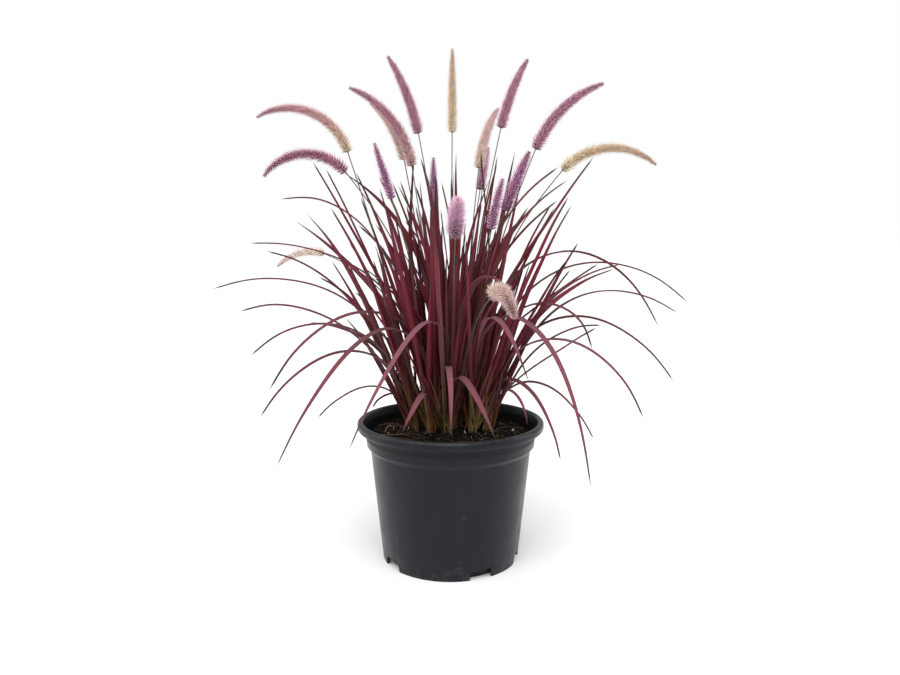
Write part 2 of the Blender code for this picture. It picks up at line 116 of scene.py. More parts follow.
class SpikeSettings(bpy.types.PropertyGroup):
    pitch: length_setting("Whorl pitch", "Length of spike from one whorl of husks to the next", 0.0030)
    spokes: count_setting("Husks", "Husks in one whorl", 12)
    fullness: plain_setting("Fullness", "Radius of the bristles over the radius of the solid spike", 1.32)
    bristles: count_setting("Bristles", "Bristles beside each husk", 4)


class StageSettings(bpy.types.PropertyGroup):
    floor: length_setting("Floor size", "Width of the pale floor", 40.0)
    light: plain_setting("Light", "Strength of the soft light all round", 0.55)
    overhead: plain_setting("Overhead light", "Strength of the light from above", 3.0)


# ---------------- modelling helpers


def deselect():
    if bpy.context.object and bpy.context.object.mode != "OBJECT":
        bpy.ops.object.mode_set(mode="OBJECT")
    bpy.ops.object.select_all(action="DESELECT")


def choose(thing):
    deselect()
    thing.select_set(True)
    bpy.context.view_layer.objects.active = thing


@contextmanager
def editing(thing):
    """Edit mode on one object, with vertices as the things selected."""
    choose(thing)
    bpy.ops.object.mode_set(mode="EDIT")
    bpy.ops.mesh.select_mode(type="VERT")
    yield
    bpy.ops.object.mode_set(mode="OBJECT")


def pick(thing, test):
    """In edit mode, selects the vertices whose place passes the test, and what lies between them."""
    bpy.ops.mesh.select_all(action="DESELECT")
    mesh = bmesh.from_edit_mesh(thing.data)
    for corner in mesh.verts:
        corner.select = test(corner.co)
    mesh.select_flush(True)
    bmesh.update_edit_mesh(thing.data)


def named(name):
    """The object just added, named."""
    thing = bpy.context.object
    thing.name = name
    thing.data.name = name
    return thing


def near(value, aim):
    return abs(value - aim) < 1e-4


def settle(thing):
    """The object's place, turn and size go into its mesh."""
    choose(thing)
    bpy.ops.object.transform_apply(location=True, rotation=True, scale=True)


def finish_with(thing, kind, **values):
    """Adds a modifier with these values and applies it."""
    choose(thing)
    modifier = thing.modifiers.new(kind.lower(), kind)
    for key, value in values.items():
        setattr(modifier, key, value)
    bpy.ops.object.modifier_apply(modifier=modifier.name)


def smooth(thing, degrees):
    choose(thing)
    bpy.ops.object.shade_smooth_by_angle(angle=math.radians(degrees))


def face_out(thing):
    with editing(thing):
        bpy.ops.mesh.select_all(action="SELECT")
        bpy.ops.mesh.normals_make_consistent(inside=False)


def keep(thing, material, slot, *nodes):
    """Finishes a piece: its material and the solids that it stands for. The slot is not used."""
    thing.data.materials.clear()
    thing.data.materials.append(material)
    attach(thing, "root")
    if nodes:
        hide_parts(*nodes)
    return thing


# ---------------- patterns that are copied


class Pattern:
    """A small shape modelled once: its corners, its faces and where each face corner sits on a flat sheet."""

    def __init__(self, thing):
        mesh = thing.data
        self.points = np.empty(len(mesh.vertices) * 3)
        mesh.vertices.foreach_get("co", self.points)
        self.points = self.points.reshape(-1, 3)
        self.faces = [tuple(face.vertices) for face in mesh.polygons]
        self.sheet = [self.flat(face) for face in self.faces]
        bpy.data.objects.remove(thing, do_unlink=True)

    def flat(self, face):
        """Turn round the shape across, height up it: each face in its own place."""
        turns = [math.atan2(self.points[i][1], self.points[i][0]) / math.tau % 1.0 for i in face]
        middle = turns[0]
        turns = [turn + round(middle - turn) for turn in turns]
        if min(turns) < 0.0:
            turns = [turn + 1.0 for turn in turns]
        low, high = self.points[:, 2].min(), self.points[:, 2].max()
        heights = [(self.points[i][2] - low) / (high - low) for i in face]
        return [(turn * 0.45 + 0.05, height * 0.9 + 0.05) for turn, height in zip(turns, heights)]


class Copies:
    """Copies of patterns gathered into one mesh, with values painted on each corner."""

    def __init__(self):
        self.points, self.faces, self.sheets, self.paint, self.tint = [], [], [], [], []
        self.count = 0

    def add(self, pattern, points, paint, tint):
        """points is where the pattern's corners go; paint is three values a corner and tint three a copy."""
        self.faces += [tuple(self.count + i for i in face) for face in pattern.faces]
        self.sheets.append(pattern.sheet)
        self.points.append(points)
        self.paint.append(paint)
        self.tint.append(np.tile(np.asarray(tint, float), (len(points), 1)))
        self.count += len(points)

    def mesh(self, name):
        """One object of all the copies, laid out side by side on its bake sheet."""
        mesh = bpy.data.meshes.new(name)
        mesh.from_pydata(np.vstack(self.points).tolist(), [], self.faces)
        for label, values in (("place", self.paint), ("tint", self.tint)):
            field = mesh.attributes.new(label, "FLOAT_VECTOR", "POINT")
            field.data.foreach_set("vector", np.vstack(values).astype(np.float32).ravel())
        across = math.ceil(math.sqrt(len(self.sheets)))
        cells = []
        for number, sheet in enumerate(self.sheets):
            column, row = number % across, number // across
            cells += [((column + u) / across, (row + v) / across) for face in sheet for u, v in face]
        mesh.uv_layers.new(name="OFBake").data.foreach_set("uv", np.array(cells, np.float32).ravel())
        mesh.polygons.foreach_set("use_smooth", [True] * len(self.faces))
        mesh.update()
        thing = bpy.data.objects.new(name, mesh)
        bpy.context.collection.objects.link(thing)
        return thing


def slim_tube(name, sides, cuts):
    """A tube one unit high and one unit across, with evenly spaced rings."""
    deselect()
    bpy.ops.mesh.primitive_cylinder_add(vertices=sides, radius=0.5, depth=1.0, location=(0, 0, 0.5))
    tube = named(name)
    settle(tube)
    with editing(tube):
        mesh = bmesh.from_edit_mesh(tube.data)
        bpy.ops.mesh.select_mode(type="EDGE")
        for edge in mesh.edges:
            edge.select = abs(edge.verts[0].co.z - edge.verts[1].co.z) > 0.5
        bmesh.update_edit_mesh(tube.data)
        bpy.ops.mesh.subdivide(number_cuts=cuts)
        bpy.ops.mesh.select_mode(type="VERT")
    return tube


def shape_rings(tube, rings, size):
    """Resizes each ring of a tube: size(height) is its width and its depth."""
    with editing(tube):
        for ring in range(rings + 1):
            height = ring / rings
            pick(tube, lambda place, h=height: near(place.z, h))
            wide, deep = size(height)
            bpy.ops.transform.resize(value=(wide, deep, 1.0), center_override=(0, 0, height))


def close_tip(tube):
    with editing(tube):
        pick(tube, lambda place: near(place.z, 1.0))
        bpy.ops.mesh.merge(type="CENTER")


BLADE_RINGS = 36
BLADE_FOLD = 0.13
BLADE_SKIN = 0.055
# The sheath's share of a blade's height, how much thicker it is, and where the fold starts
SHEATH_END = 0.22
SHEATH_THICKNESS = 5.0
FOLD_START = 0.12


def blade_width(height):
    """Narrow in the sheath, broadest before the middle, and a long taper to the point."""
    return min(1.0, 0.27 + 1.7 * height) * max(0.02, 1.0 - height**3.1)


def blade_pattern():
    """A straight grass blade: eight-sided, thin, folded down its midrib and thick in its sheath."""
    blade = slim_tube("blade", 8, BLADE_RINGS - 1)

    def size(height):
        wide = blade_width(height)
        sheath = 1.0 + SHEATH_THICKNESS * max(0.0, 1.0 - height / SHEATH_END) ** 1.5
        return wide, BLADE_SKIN * 2 * sheath * wide**0.5

    shape_rings(blade, BLADE_RINGS, size)
    with editing(blade):
        pick(blade, lambda place: abs(place.x) < 0.01 * blade_width(place.z) and place.z > FOLD_START)
        bpy.ops.transform.translate(value=(0.0, -BLADE_FOLD, 0.0))
        pick(blade, lambda place: abs(place.x) > 0.4 * blade_width(place.z) and place.z > FOLD_START)
        bpy.ops.transform.translate(value=(0.0, BLADE_FOLD * 0.5, 0.0))
    close_tip(blade)
    return Pattern(blade)


def stalk_pattern(name, sides, rings, end=0.72):
    """A round stalk that thins towards its top."""
    stalk = slim_tube(name, sides, rings - 1)
    shape_rings(stalk, rings, lambda height: (1.0 + (end - 1.0) * height,) * 2)
    return Pattern(stalk)


def spikelet_pattern():
    """A plump five-sided seed husk with a sharp point."""
    husk = slim_tube("husk", 5, 2)
    shape_rings(husk, 3, lambda height: (0.35 + 2.6 * height * (1.0 - height) ** 1.1,) * 2)
    close_tip(husk)
    return Pattern(husk)


def bristle_pattern():
    """A thin three-sided hair with a sharp point."""
    bristle = slim_tube("bristle", 3, 1)
    shape_rings(bristle, 2, lambda height: (1.0 - 0.45 * height,) * 2)
    close_tip(bristle)
    return Pattern(bristle)


def crumb_pattern():
    """A rough lump, as a crumb of bark or a grain of perlite."""
    deselect()
    bpy.ops.mesh.primitive_ico_sphere_add(subdivisions=2, radius=0.5)
    crumb = named("crumb")
    with editing(crumb):
        bpy.ops.mesh.select_all(action="SELECT")
        bpy.ops.transform.vertex_random(offset=0.16, seed=4)
    return Pattern(crumb)


# ---------------- lines along which copies are bent


class Line:
    """A smooth line through points, with a sideways direction that turns along it."""

    def __init__(self, points, sides=None, steps=72):
        points = np.asarray(points, float)
        chords = np.concatenate([[0.0], np.cumsum(np.linalg.norm(np.diff(points, axis=0), axis=1))])
        fine = np.linspace(0.0, chords[-1], 6 * steps)
        bends = self.second_slopes(chords, points)
        path = self.bow(chords, points, bends, fine)
        run = np.concatenate([[0.0], np.cumsum(np.linalg.norm(np.diff(path, axis=0), axis=1))])
        self.length = run[-1]
        even = np.linspace(0.0, self.length, steps + 1)
        self.share = even / self.length
        self.points = np.column_stack([np.interp(even, run, path[:, axis]) for axis in range(3)])
        along = np.gradient(self.points, axis=0)
        self.along = along / np.linalg.norm(along, axis=1, keepdims=True)
        if sides is None:
            start = np.cross(self.along[0], (0.31, 0.95, 0.05))
            sides = np.tile(start, (len(points), 1))
        where = np.interp(even, run, fine)
        side = np.column_stack([np.interp(where, chords, np.asarray(sides)[:, axis]) for axis in range(3)])
        side -= self.along * (side * self.along).sum(1, keepdims=True)
        self.side = side / np.linalg.norm(side, axis=1, keepdims=True)
        self.up = np.cross(self.along, self.side)

    @staticmethod
    def second_slopes(chords, points):
        """Second slopes of the natural cubic through the points."""
        count = len(points)
        steps = np.diff(chords)
        grid = np.eye(count)
        load = np.zeros((count, 3))
        for i in range(1, count - 1):
            before, after = steps[i - 1], steps[i]
            grid[i, i - 1 : i + 2] = before, 2 * (before + after), after
            load[i] = 6 * ((points[i + 1] - points[i]) / after - (points[i] - points[i - 1]) / before)
        return np.linalg.solve(grid, load)

    @staticmethod
    def bow(chords, points, bends, fine):
        """The cubic's places at these distances along its chords."""
        piece = np.clip(np.searchsorted(chords, fine, side="right") - 1, 0, len(chords) - 2)
        step = (chords[piece + 1] - chords[piece])[:, None]
        after = (fine - chords[piece])[:, None] / step
        before = 1.0 - after
        curve = (before**3 - before) * bends[piece] + (after**3 - after) * bends[piece + 1]
        return before * points[piece] + after * points[piece + 1] + curve * step**2 / 6

    def bend(self, pattern, width):
        """Where the corners of a one-unit pattern go when it is laid along the line."""
        height = np.clip(pattern.points[:, 2], 0.0, 1.0)

        def at(values):
            return np.column_stack([np.interp(height, self.share, values[:, axis]) for axis in range(3)])

        across = pattern.points[:, :1] * width
        deep = pattern.points[:, 1:2] * width
        return at(self.points) + at(self.side) * across + at(self.up) * deep

    def at(self, share):
        """The place, the direction along and the sideways direction at a share of the length."""
        index = share * (len(self.share) - 1)
        low = min(int(index), len(self.share) - 2)
        part = index - low
        rows = (self.points, self.along, self.side)
        place, along, side = ((1 - part) * values[low] + part * values[low + 1] for values in rows)
        return place, along / np.linalg.norm(along), side / np.linalg.norm(side)


def welded(node):
    """A solid's own corners without doubles, and each corner's neighbours."""
    mesh = NODES[node].data
    places, keys, same = [], {}, []
    for corner in mesh.vertices:
        key = tuple(round(value, 6) for value in corner.co)
        if key not in keys:
            keys[key] = len(places)
            places.append(np.array(corner.co))
        same.append(keys[key])
    links = [set() for _ in places]
    for face in mesh.polygons:
        ring = [same[i] for i in face.vertices]
        for a, b in zip(ring, ring[1:] + ring[:1]):
            if a != b:
                links[a].add(b)
                links[b].add(a)
    return places, links


LEAF_LEVELS = 6
ROOT_DEPTH = 0.004
CROWN_RISE = 0.030


def arches(points):
    """Whether a blade bends over so far that its end lies flat or hangs."""
    end = points[-1] - points[-2]
    return end[2] < 0.35 * np.linalg.norm(end)


def facing(points, draw):
    """Sideways directions along a blade: one that arches lies flat, an upright one faces any way."""
    reach = points[-1] - points[0]
    out = np.array((reach[0], reach[1], 0.0)) / max(math.hypot(reach[0], reach[1]), 1e-6)
    across = np.cross(UP, out)
    arching = arches(points)
    other = UP if arching else out
    turn = math.radians(draw.uniform(-14, 14) if arching else draw.uniform(-90, 90))
    twist = math.radians(draw.uniform(-16, 16) if arching else draw.uniform(-50, 50))
    turns = [turn + twist * knot / (len(points) - 1) for knot in range(len(points))]
    return [across * math.cos(one) + other * math.sin(one) for one in turns]


def leaf_lines(node, foot, draw):
    """The line of each main blade of a shoot, from its foot to its tip."""
    places, links = welded(node)
    lines = []
    for tip, around in enumerate(links):
        if len(around) != 3:
            continue
        level, seen, levels = set(around), {tip}, []
        while len(level) == 3 and len(levels) < LEAF_LEVELS:
            levels.append(sorted(level))
            seen |= level
            level = {other for corner in level for other in links[corner]} - seen
        if len(levels) < LEAF_LEVELS:
            continue
        centres = [places[tip]] + [edge_middle([places[i] for i in ring]) for ring in levels]
        centres.reverse()
        start = centres[0] + (centres[0] - centres[1]) * 0.25
        drop = (start[2] - SOIL_TOP + ROOT_DEPTH) / (start[2] - SOIL_TOP + CROWN_RISE)
        base = start + (foot - start) * (drop, drop, 0.0)
        base[2] = SOIL_TOP - ROOT_DEPTH
        points = [base] + centres
        lines.append((Line(points, facing(points, draw)), arches(points)))
    return lines


def edge_middle(corners):
    """Midway between the two corners of a blade's section that are furthest apart."""
    pairs = [(np.linalg.norm(corners[i] - corners[j]), i, j) for i, j in ((0, 1), (1, 2), (0, 2))]
    _, i, j = max(pairs)
    return (corners[i] + corners[j]) / 2


def foot_of(node):
    """The middle of the ring on which a shoot stands on the soil."""
    places, _ = welded(node)
    return np.median([place for place in places if 0.0 < place[2] - SOIL_TOP < 0.0006], axis=0)


def ring_centres(node, start):
    """The middles and radii of a solid's rings, walking from one end over its edges."""
    places, links = welded(node)
    ring, seen = start(places), set()
    centres, reach = [], []
    while ring:
        middle = np.mean([places[i] for i in ring], axis=0)
        centres.append(middle)
        reach.append(np.linalg.norm(places[next(iter(ring))] - middle))
        seen |= ring
        ring = {other for corner in ring for other in links[corner]} - seen
    return centres, reach


STEM_SIDES = 5


def stem_rings(node):
    def foot(places):
        low = min(places, key=lambda place: place[2])
        near_first = sorted(range(len(places)), key=lambda i: np.linalg.norm(places[i] - low))
        return set(near_first[:STEM_SIDES])

    return ring_centres(node, foot)


def spike_rings(node):
    """From the spike's foot to its tip, which is its point furthest from the stem."""
    stem_top = stem_rings(node.replace("spike", "stem"))[0][-1]

    def tip(places):
        return {max(range(len(places)), key=lambda i: np.linalg.norm(places[i] - stem_top))}

    centres, reach = ring_centres(node, tip)
    return centres[::-1], reach[::-1]


# ---------------- materials

BLACK = (0.0, 0.0, 0.0)


def rgba(colour, share=1.0):
    return tuple(channel * share for channel in colour[:3]) + (1.0,)


def new_material(name):
    material = bpy.data.materials.new(name)
    material.use_nodes = True
    return material, Nodes(material.node_tree)


class Nodes:
    """Adds and links the nodes of one tree."""

    def __init__(self, tree):
        self.tree = tree

    def give(self, socket, value):
        """A socket's value: a plain one, or another node's output."""
        if isinstance(value, bpy.types.NodeSocket):
            self.tree.links.new(value, socket)
        else:
            socket.default_value = value

    def add(self, kind, **values):
        """A node; its values are its options, or its inputs by name, or by number as in n0 and n1."""
        node = self.tree.nodes.new("ShaderNode" + kind)
        for key, value in values.items():
            name = key.replace("_", " ").lower()
            if hasattr(node, key):
                setattr(node, key, value)
            elif name[0] == "n" and name[1:].isdigit():
                self.give(node.inputs[int(name[1:])], value)
            else:
                self.give(next(one for one in node.inputs if one.name.lower() == name and one.enabled), value)
        return node

    def maths(self, what, first, second=0.0, third=0.0):
        return self.add("Math", operation=what, n0=first, n1=second, n2=third).outputs[0]

    def times(self, first, second):
        return self.maths("MULTIPLY", first, second)

    def plus(self, first, second):
        return self.maths("ADD", first, second)

    def step(self, value, low, high, to_low=0.0, to_high=1.0):
        """A value's change from low to high, as a smooth one from to_low to to_high."""
        return self.add(
            "MapRange", interpolation_type="SMOOTHSTEP", Value=value, From_Min=low, From_Max=high,
            To_Min=to_low, To_Max=to_high,
        ).outputs[0]

    def mix(self, share, first, second):
        node = self.add("Mix", data_type="RGBA", n0=share)
        for number, value in ((6, first), (7, second)):
            plain = not isinstance(value, bpy.types.NodeSocket)
            self.give(node.inputs[number], rgba(value) if plain else value)
        return node.outputs[2]

    def layered(self, tone, *coats):
        """Coats laid over a tone one after another: each is where it covers and its colour."""
        for cover, colour in coats:
            tone = self.mix(cover, tone, colour)
        return tone

    def noise(self, where, scale, detail=3.0, rough=0.5):
        return self.add("TexNoise", Vector=where, Scale=scale, Detail=detail, Roughness=rough).outputs["Fac"]

    def stretched(self, where, size):
        return self.add("VectorMath", operation="MULTIPLY", n0=where, n1=size).outputs[0]

    def split(self, vector):
        return self.add("SeparateXYZ", Vector=vector).outputs

    def attribute(self, name):
        return self.add("Attribute", attribute_name=name).outputs["Vector"]

    def place(self):
        return self.add("TexCoord").outputs["Object"]

    def bump(self, height, strength, distance):
        return self.add("Bump", Strength=strength, Distance=distance, Height=height).outputs[0]

    def group(self, tree, **values):
        node = self.tree.nodes.new("ShaderNodeGroup")
        node.node_tree = tree
        for key, value in values.items():
            self.give(node.inputs[key], value)
        return node.outputs

    def surface(self, **values):
        """Sets or links the Principled BSDF."""
        for key, value in values.items():
            self.give(self.tree.nodes["Principled BSDF"].inputs[key.replace("_", " ")], value)


def new_group(name, inputs, outputs):
    """A shader node group with named sockets, its tree helper and its input node's outputs."""
    tree = bpy.data.node_groups.new(name, "ShaderNodeTree")
    for label, kind, value in inputs:
        socket = tree.interface.new_socket(label, in_out="INPUT", socket_type="NodeSocket" + kind)
        if value is not None:
            socket.default_value = value
    for label, kind in outputs:
        tree.interface.new_socket(label, in_out="OUTPUT", socket_type="NodeSocket" + kind)
    source = tree.nodes.new("NodeGroupInput").outputs
    sink = tree.nodes.new("NodeGroupOutput").inputs
    return tree, Nodes(tree), source, sink


def vein_group():
    """Fine grain along a blade or stalk: a value for colour and a height for its relief."""
    tree, nodes, source, sink = new_group(
        "Fine veins", [("Place", "Vector", None), ("Across", "Float", 9.0), ("Along", "Float", 2.0)],
        [("Veins", "Float"), ("Blotches", "Float")],
    )
    size = nodes.add("CombineXYZ", X=source["Across"], Y=source["Along"], Z=7.0).outputs[0]
    nodes.give(sink["Veins"], nodes.noise(nodes.stretched(source["Place"], size), 1.0, 4.0, 0.6))
    nodes.give(sink["Blotches"], nodes.noise(source["Place"], 3.2, 3.0))
    return tree


def speckle_group():
    """Fine crumbs and grit: a soft broad change and a sharp fine one."""
    tree, nodes, source, sink = new_group(
        "Grit", [("Place", "Vector", None), ("Scale", "Float", 400.0)],
        [("Broad", "Float"), ("Fine", "Float")],
    )
    nodes.give(sink["Broad"], nodes.noise(source["Place"], 60.0, 3.0))
    nodes.give(sink["Fine"], nodes.noise(source["Place"], source["Scale"], 5.0))
    return tree


def group_named(name, maker):
    return bpy.data.node_groups.get(name) or maker()


def plastic_material(colour):
    """Satin moulded plastic: faint flow streaks, a fine grain, dust, a few scuffs, a painted highlight along
    the lip and painted shade on the inner wall.
    """
    material, nodes = new_material("pot_plastic_satin")
    place = nodes.place()
    grit = nodes.group(group_named("Grit", speckle_group), Place=place, Scale=900.0)
    streaks = nodes.noise(nodes.stretched(place, (42.0, 42.0, 5.0)), 1.0, 4.0, 0.6)
    scratches = nodes.noise(nodes.stretched(place, (60.0, 60.0, 900.0)), 1.0, 2.0, 0.7)
    scuffed = nodes.step(nodes.noise(place, 34.0, 4.0, 0.62), 0.61, 0.70)
    scuffs = nodes.times(nodes.step(scratches, 0.56, 0.64), scuffed)
    axes = nodes.split(place)
    height = axes["Z"]
    dust = nodes.times(nodes.step(height, 0.028, 0.0), nodes.step(grit["Broad"], 0.42, 0.62))
    level = nodes.add("CombineXYZ", X=axes["X"], Y=axes["Y"], Z=0.0).outputs[0]
    radius = nodes.add("VectorMath", operation="LENGTH", n0=level).outputs["Value"]
    # Painted shade: the inner wall above the soil is made near-black, and rougher
    inside = nodes.times(nodes.step(radius, 0.1035, 0.1015), nodes.step(height, 0.148, 0.152))
    # Painted highlight: the top of the lip is made lighter, broken up by the streaks
    lip = nodes.step(height, POT_HIGH - 0.0045, POT_HIGH - 0.0005)
    lip_highlight = nodes.times(lip, nodes.step(streaks, 0.25, 0.60))
    tone = nodes.layered(
        rgba(colour, 0.86),
        (nodes.step(streaks, 0.32, 0.70), rgba(colour, 1.16)),
        (nodes.times(scuffs, 0.30), (0.10, 0.10, 0.105)),
        (nodes.times(dust, 0.22), (0.09, 0.082, 0.075)),
        (nodes.times(lip_highlight, 0.55), (0.055, 0.056, 0.060)),
        # painted shade on the inner wall
        (nodes.times(inside, 0.85), (0.0012, 0.0008, 0.0006)),
    )
    rough = nodes.step(nodes.noise(place, 26.0, 5.0), 0.3, 0.7, 0.28, 0.38)
    rough = nodes.plus(rough, nodes.times(scuffs, 0.22))
    rough = nodes.plus(rough, nodes.times(inside, 0.45))
    relief = nodes.bump(nodes.plus(grit["Fine"], nodes.times(streaks, 2.5)), 0.10, 0.0004)
    nodes.surface(Base_Color=tone, Roughness=rough, Normal=relief, Specular_IOR_Level=0.20)
    return material


def soil_material(name, colour, pale):
    """Moist mix: near-black hollows, brown crumbs and some paler grit."""
    material, nodes = new_material(name)
    grit = nodes.group(group_named("Grit", speckle_group), Place=nodes.place(), Scale=520.0)
    tint = nodes.split(nodes.attribute("tint"))
    tone = nodes.layered(
        rgba(colour, 0.45),
        (nodes.step(grit["Broad"], 0.35, 0.68), rgba(colour, 1.25)),
        (nodes.times(tint["X"], pale), (0.046, 0.028, 0.016)),
        (nodes.step(grit["Fine"], 0.58, 0.70, 0.0, 0.5), rgba(colour, 3.0)),
    )
    relief = nodes.bump(grit["Fine"], 0.6, 0.0008)
    nodes.surface(Base_Color=tone, Roughness=0.86, Normal=relief, Specular_IOR_Level=0.12)
    return material


def fibre_material():
    """Coir fibres and rootlets, from dark brown to straw."""
    material, nodes = new_material("soil_fibres")
    place = nodes.attribute("place")
    tone = nodes.layered(
        (0.022, 0.011, 0.006),
        (nodes.split(nodes.attribute("tint"))["X"], (0.34, 0.20, 0.095)),
        (nodes.step(nodes.split(place)["Y"], 0.55, 1.0, 0.0, 0.45), (0.025, 0.015, 0.010)),
        (nodes.step(nodes.noise(place, 5.0), 0.45, 0.7, 0.0, 0.4), (0.02, 0.012, 0.008)),
    )
    nodes.surface(Base_Color=tone, Roughness=0.7)
    return material


def perlite_material():
    """White puffed grains with pits and soil dust on them."""
    material, nodes = new_material("soil_perlite")
    grit = nodes.group(group_named("Grit", speckle_group), Place=nodes.place(), Scale=1500.0)
    tone = nodes.mix(nodes.step(grit["Broad"], 0.35, 0.75), (0.62, 0.60, 0.56), (0.30, 0.25, 0.20))
    nodes.surface(Base_Color=tone, Roughness=0.9, Normal=nodes.bump(grit["Fine"], 0.5, 0.0003))
    return material


def blade_material(settings):
    """Grass blade: olive or rust sheath, burgundy blade, grey dry tip, pale midrib and fine veins.

    place holds across (-1 to 1), along (0 to 1) and a number for the blade; tint holds how dark,
    how rusty at the foot and how pink the blade is. The pink is partly the blade's own tone and partly
    painted sheen, strongest on blades that arch to the front.
    """
    material, nodes = new_material("grass_blade")
    place = nodes.attribute("place")
    where, tint = nodes.split(place), nodes.split(nodes.attribute("tint"))
    along = where["Y"]
    veins = nodes.group(group_named("Fine veins", vein_group), Place=place, Across=8.0, Along=1.6)
    foot = nodes.layered(
        rgba(settings.foot_colour),
        (tint["Y"], rgba(settings.rust_colour)),
        (nodes.times(tint["X"], 0.85), (0.030, 0.020, 0.010)),
        (nodes.step(along, 0.0, 0.05, 0.40, 0.0), (0.20, 0.13, 0.055)),
    )
    blade = nodes.layered(
        rgba(settings.blade_colour),
        (tint["X"], rgba(settings.dark_colour)),
        # pink tint: partly the blade's own pink, partly painted sheen as if light fell on the upper face
        (nodes.times(tint["Z"], 0.85), (0.28, 0.138, 0.165)),
        (nodes.step(veins["Blotches"], 0.54, 0.72, 0.0, 0.28), (0.055, 0.034, 0.014)),
    )
    lit = nodes.mix(0.35, blade, (0.34, 0.050, 0.085))
    blade = nodes.mix(nodes.step(along, 0.45, 0.80, 0.0, 0.72), blade, lit)
    rise = nodes.plus(along, nodes.times(veins["Blotches"], 0.16))
    across = nodes.maths("ABSOLUTE", where["X"])
    midrib = nodes.times(nodes.step(across, 0.16, 0.02), nodes.step(along, 0.95, 0.3))
    tone = nodes.layered(
        foot,
        (nodes.step(rise, 0.13, 0.42), blade),
        (nodes.step(along, 0.80, 1.0, 0.0, 0.85), rgba(settings.tip_colour)),
        (nodes.times(midrib, 0.28), (0.26, 0.13, 0.11)),
    )
    tone = nodes.mix(nodes.step(veins["Veins"], 0.42, 0.66, 0.0, 0.42), tone, nodes.mix(0.55, tone, BLACK))
    relief = nodes.bump(nodes.plus(veins["Veins"], nodes.times(midrib, 0.8)), 0.35, 0.0003)
    rough = nodes.step(veins["Blotches"], 0.3, 0.7, 0.46, 0.60)
    nodes.surface(Base_Color=tone, Roughness=rough, Normal=relief, Specular_IOR_Level=0.09)
    return material


def stem_material():
    """Flower stem: burgundy in the clump, grey-olive and drier towards the spike."""
    material, nodes = new_material("flower_stem_dry")
    place = nodes.attribute("place")
    along = nodes.split(place)["Y"]
    tint = nodes.split(nodes.attribute("tint"))
    veins = nodes.group(group_named("Fine veins", vein_group), Place=place, Across=5.0, Along=2.5)
    tone = nodes.layered(
        (0.120, 0.095, 0.030),
        (nodes.step(along, 0.02, 0.14), (0.055, 0.016, 0.016)),
        (nodes.step(along, 0.60, 0.88), (0.180, 0.165, 0.125)),
        (nodes.times(tint["X"], 0.6), (0.070, 0.030, 0.028)),
        (nodes.step(veins["Veins"], 0.40, 0.68, 0.0, 0.5), (0.05, 0.04, 0.03)),
    )
    relief = nodes.bump(veins["Veins"], 0.3, 0.0002)
    nodes.surface(Base_Color=tone, Roughness=0.6, Normal=relief, Specular_IOR_Level=0.15)
    return material


SPIKE_INPUTS = ("Foot", "Middle", "Tip", "Pale")


def spike_group():
    """Colour of a bristly spike: place holds along the spike, along the hair and the kind of hair."""
    inputs = [(name, "Vector", None) for name in ("Place", "Tint")]
    inputs += [(name, "Color", None) for name in SPIKE_INPUTS]
    tree, nodes, source, sink = new_group("Spike colour", inputs, [("Colour", "Color")])
    where, tint = nodes.split(source["Place"]), nodes.split(source["Tint"])
    wander = nodes.plus(where["X"], nodes.times(tint["X"], 0.14))
    tone = nodes.mix(nodes.step(wander, 0.05, 0.48), source["Foot"], source["Middle"])
    tone = nodes.mix(nodes.step(wander, 0.62, 1.06), tone, source["Tip"])
    shaded = nodes.mix(0.78, tone, BLACK)
    root = nodes.step(where["Y"], 0.30, 0.78, 1.0, 0.0)
    husk = nodes.mix(nodes.times(root, 0.50), tone, shaded)
    husk = nodes.mix(nodes.step(where["Y"], 0.72, 1.0, 0.0, 0.50), husk, source["Pale"])
    hair = nodes.mix(nodes.step(where["Y"], 0.35, 1.0, 0.10, 0.85), tone, source["Pale"])
    both = nodes.mix(nodes.step(where["Z"], 1.4, 1.6), husk, hair)
    axis = nodes.mix(nodes.step(where["X"], 0.78, 0.96), shaded, tone)
    whole = nodes.mix(nodes.step(where["Z"], 0.6, 0.4), both, axis)
    mottle = nodes.maths("MULTIPLY_ADD", tint["Y"], 0.65, 0.70)
    nodes.give(sink["Colour"], nodes.add("VectorMath", operation="SCALE", n0=whole, Scale=mottle).outputs[0])
    return tree


def spike_material(name, tones):
    material, nodes = new_material("spike_" + name)
    colours = {label: rgba(tone) for label, tone in zip(SPIKE_INPUTS, tones)}
    group = group_named("Spike colour", spike_group)
    tone = nodes.group(group, Place=nodes.attribute("place"), Tint=nodes.attribute("tint"), **colours)
    nodes.surface(
        Base_Color=tone["Colour"], Roughness=0.62, Sheen_Weight=0.35, Sheen_Roughness=0.4,
        Specular_IOR_Level=0.35,
    )
    return material



# ---------------- pot

POT_SIDES = 120
LIP_FOOT = POT_HIGH - 0.0098
LIP_WIDTH = 0.0077
LIP_RISE = 0.0035
LIP_STEPS = 10
# The lip's rounded lower edge: how far in from the rim and how far above the lip's foot
LIP_EDGE = ((0.0012, 0.0), (0.0003, 0.0014), (0.0, 0.0032))
LEDGE = 0.1355
COLLAR_FOOT = 0.1408
COLLAR_TAPER = 0.0023
CHANNEL_RISE = 0.0115
DISC_RADIUS = 0.0742
CHANNEL_RADIUS = 0.0755
SKIRT_WALL = 0.0030
NOTCH_BEARINGS = (-146, -65, -15, 34, 115, 165)
NOTCH_BLOCK = (0.012, 0.030, 0.022)
NOTCH_INSET = 0.0005
NOTCH_TAPER = 0.86


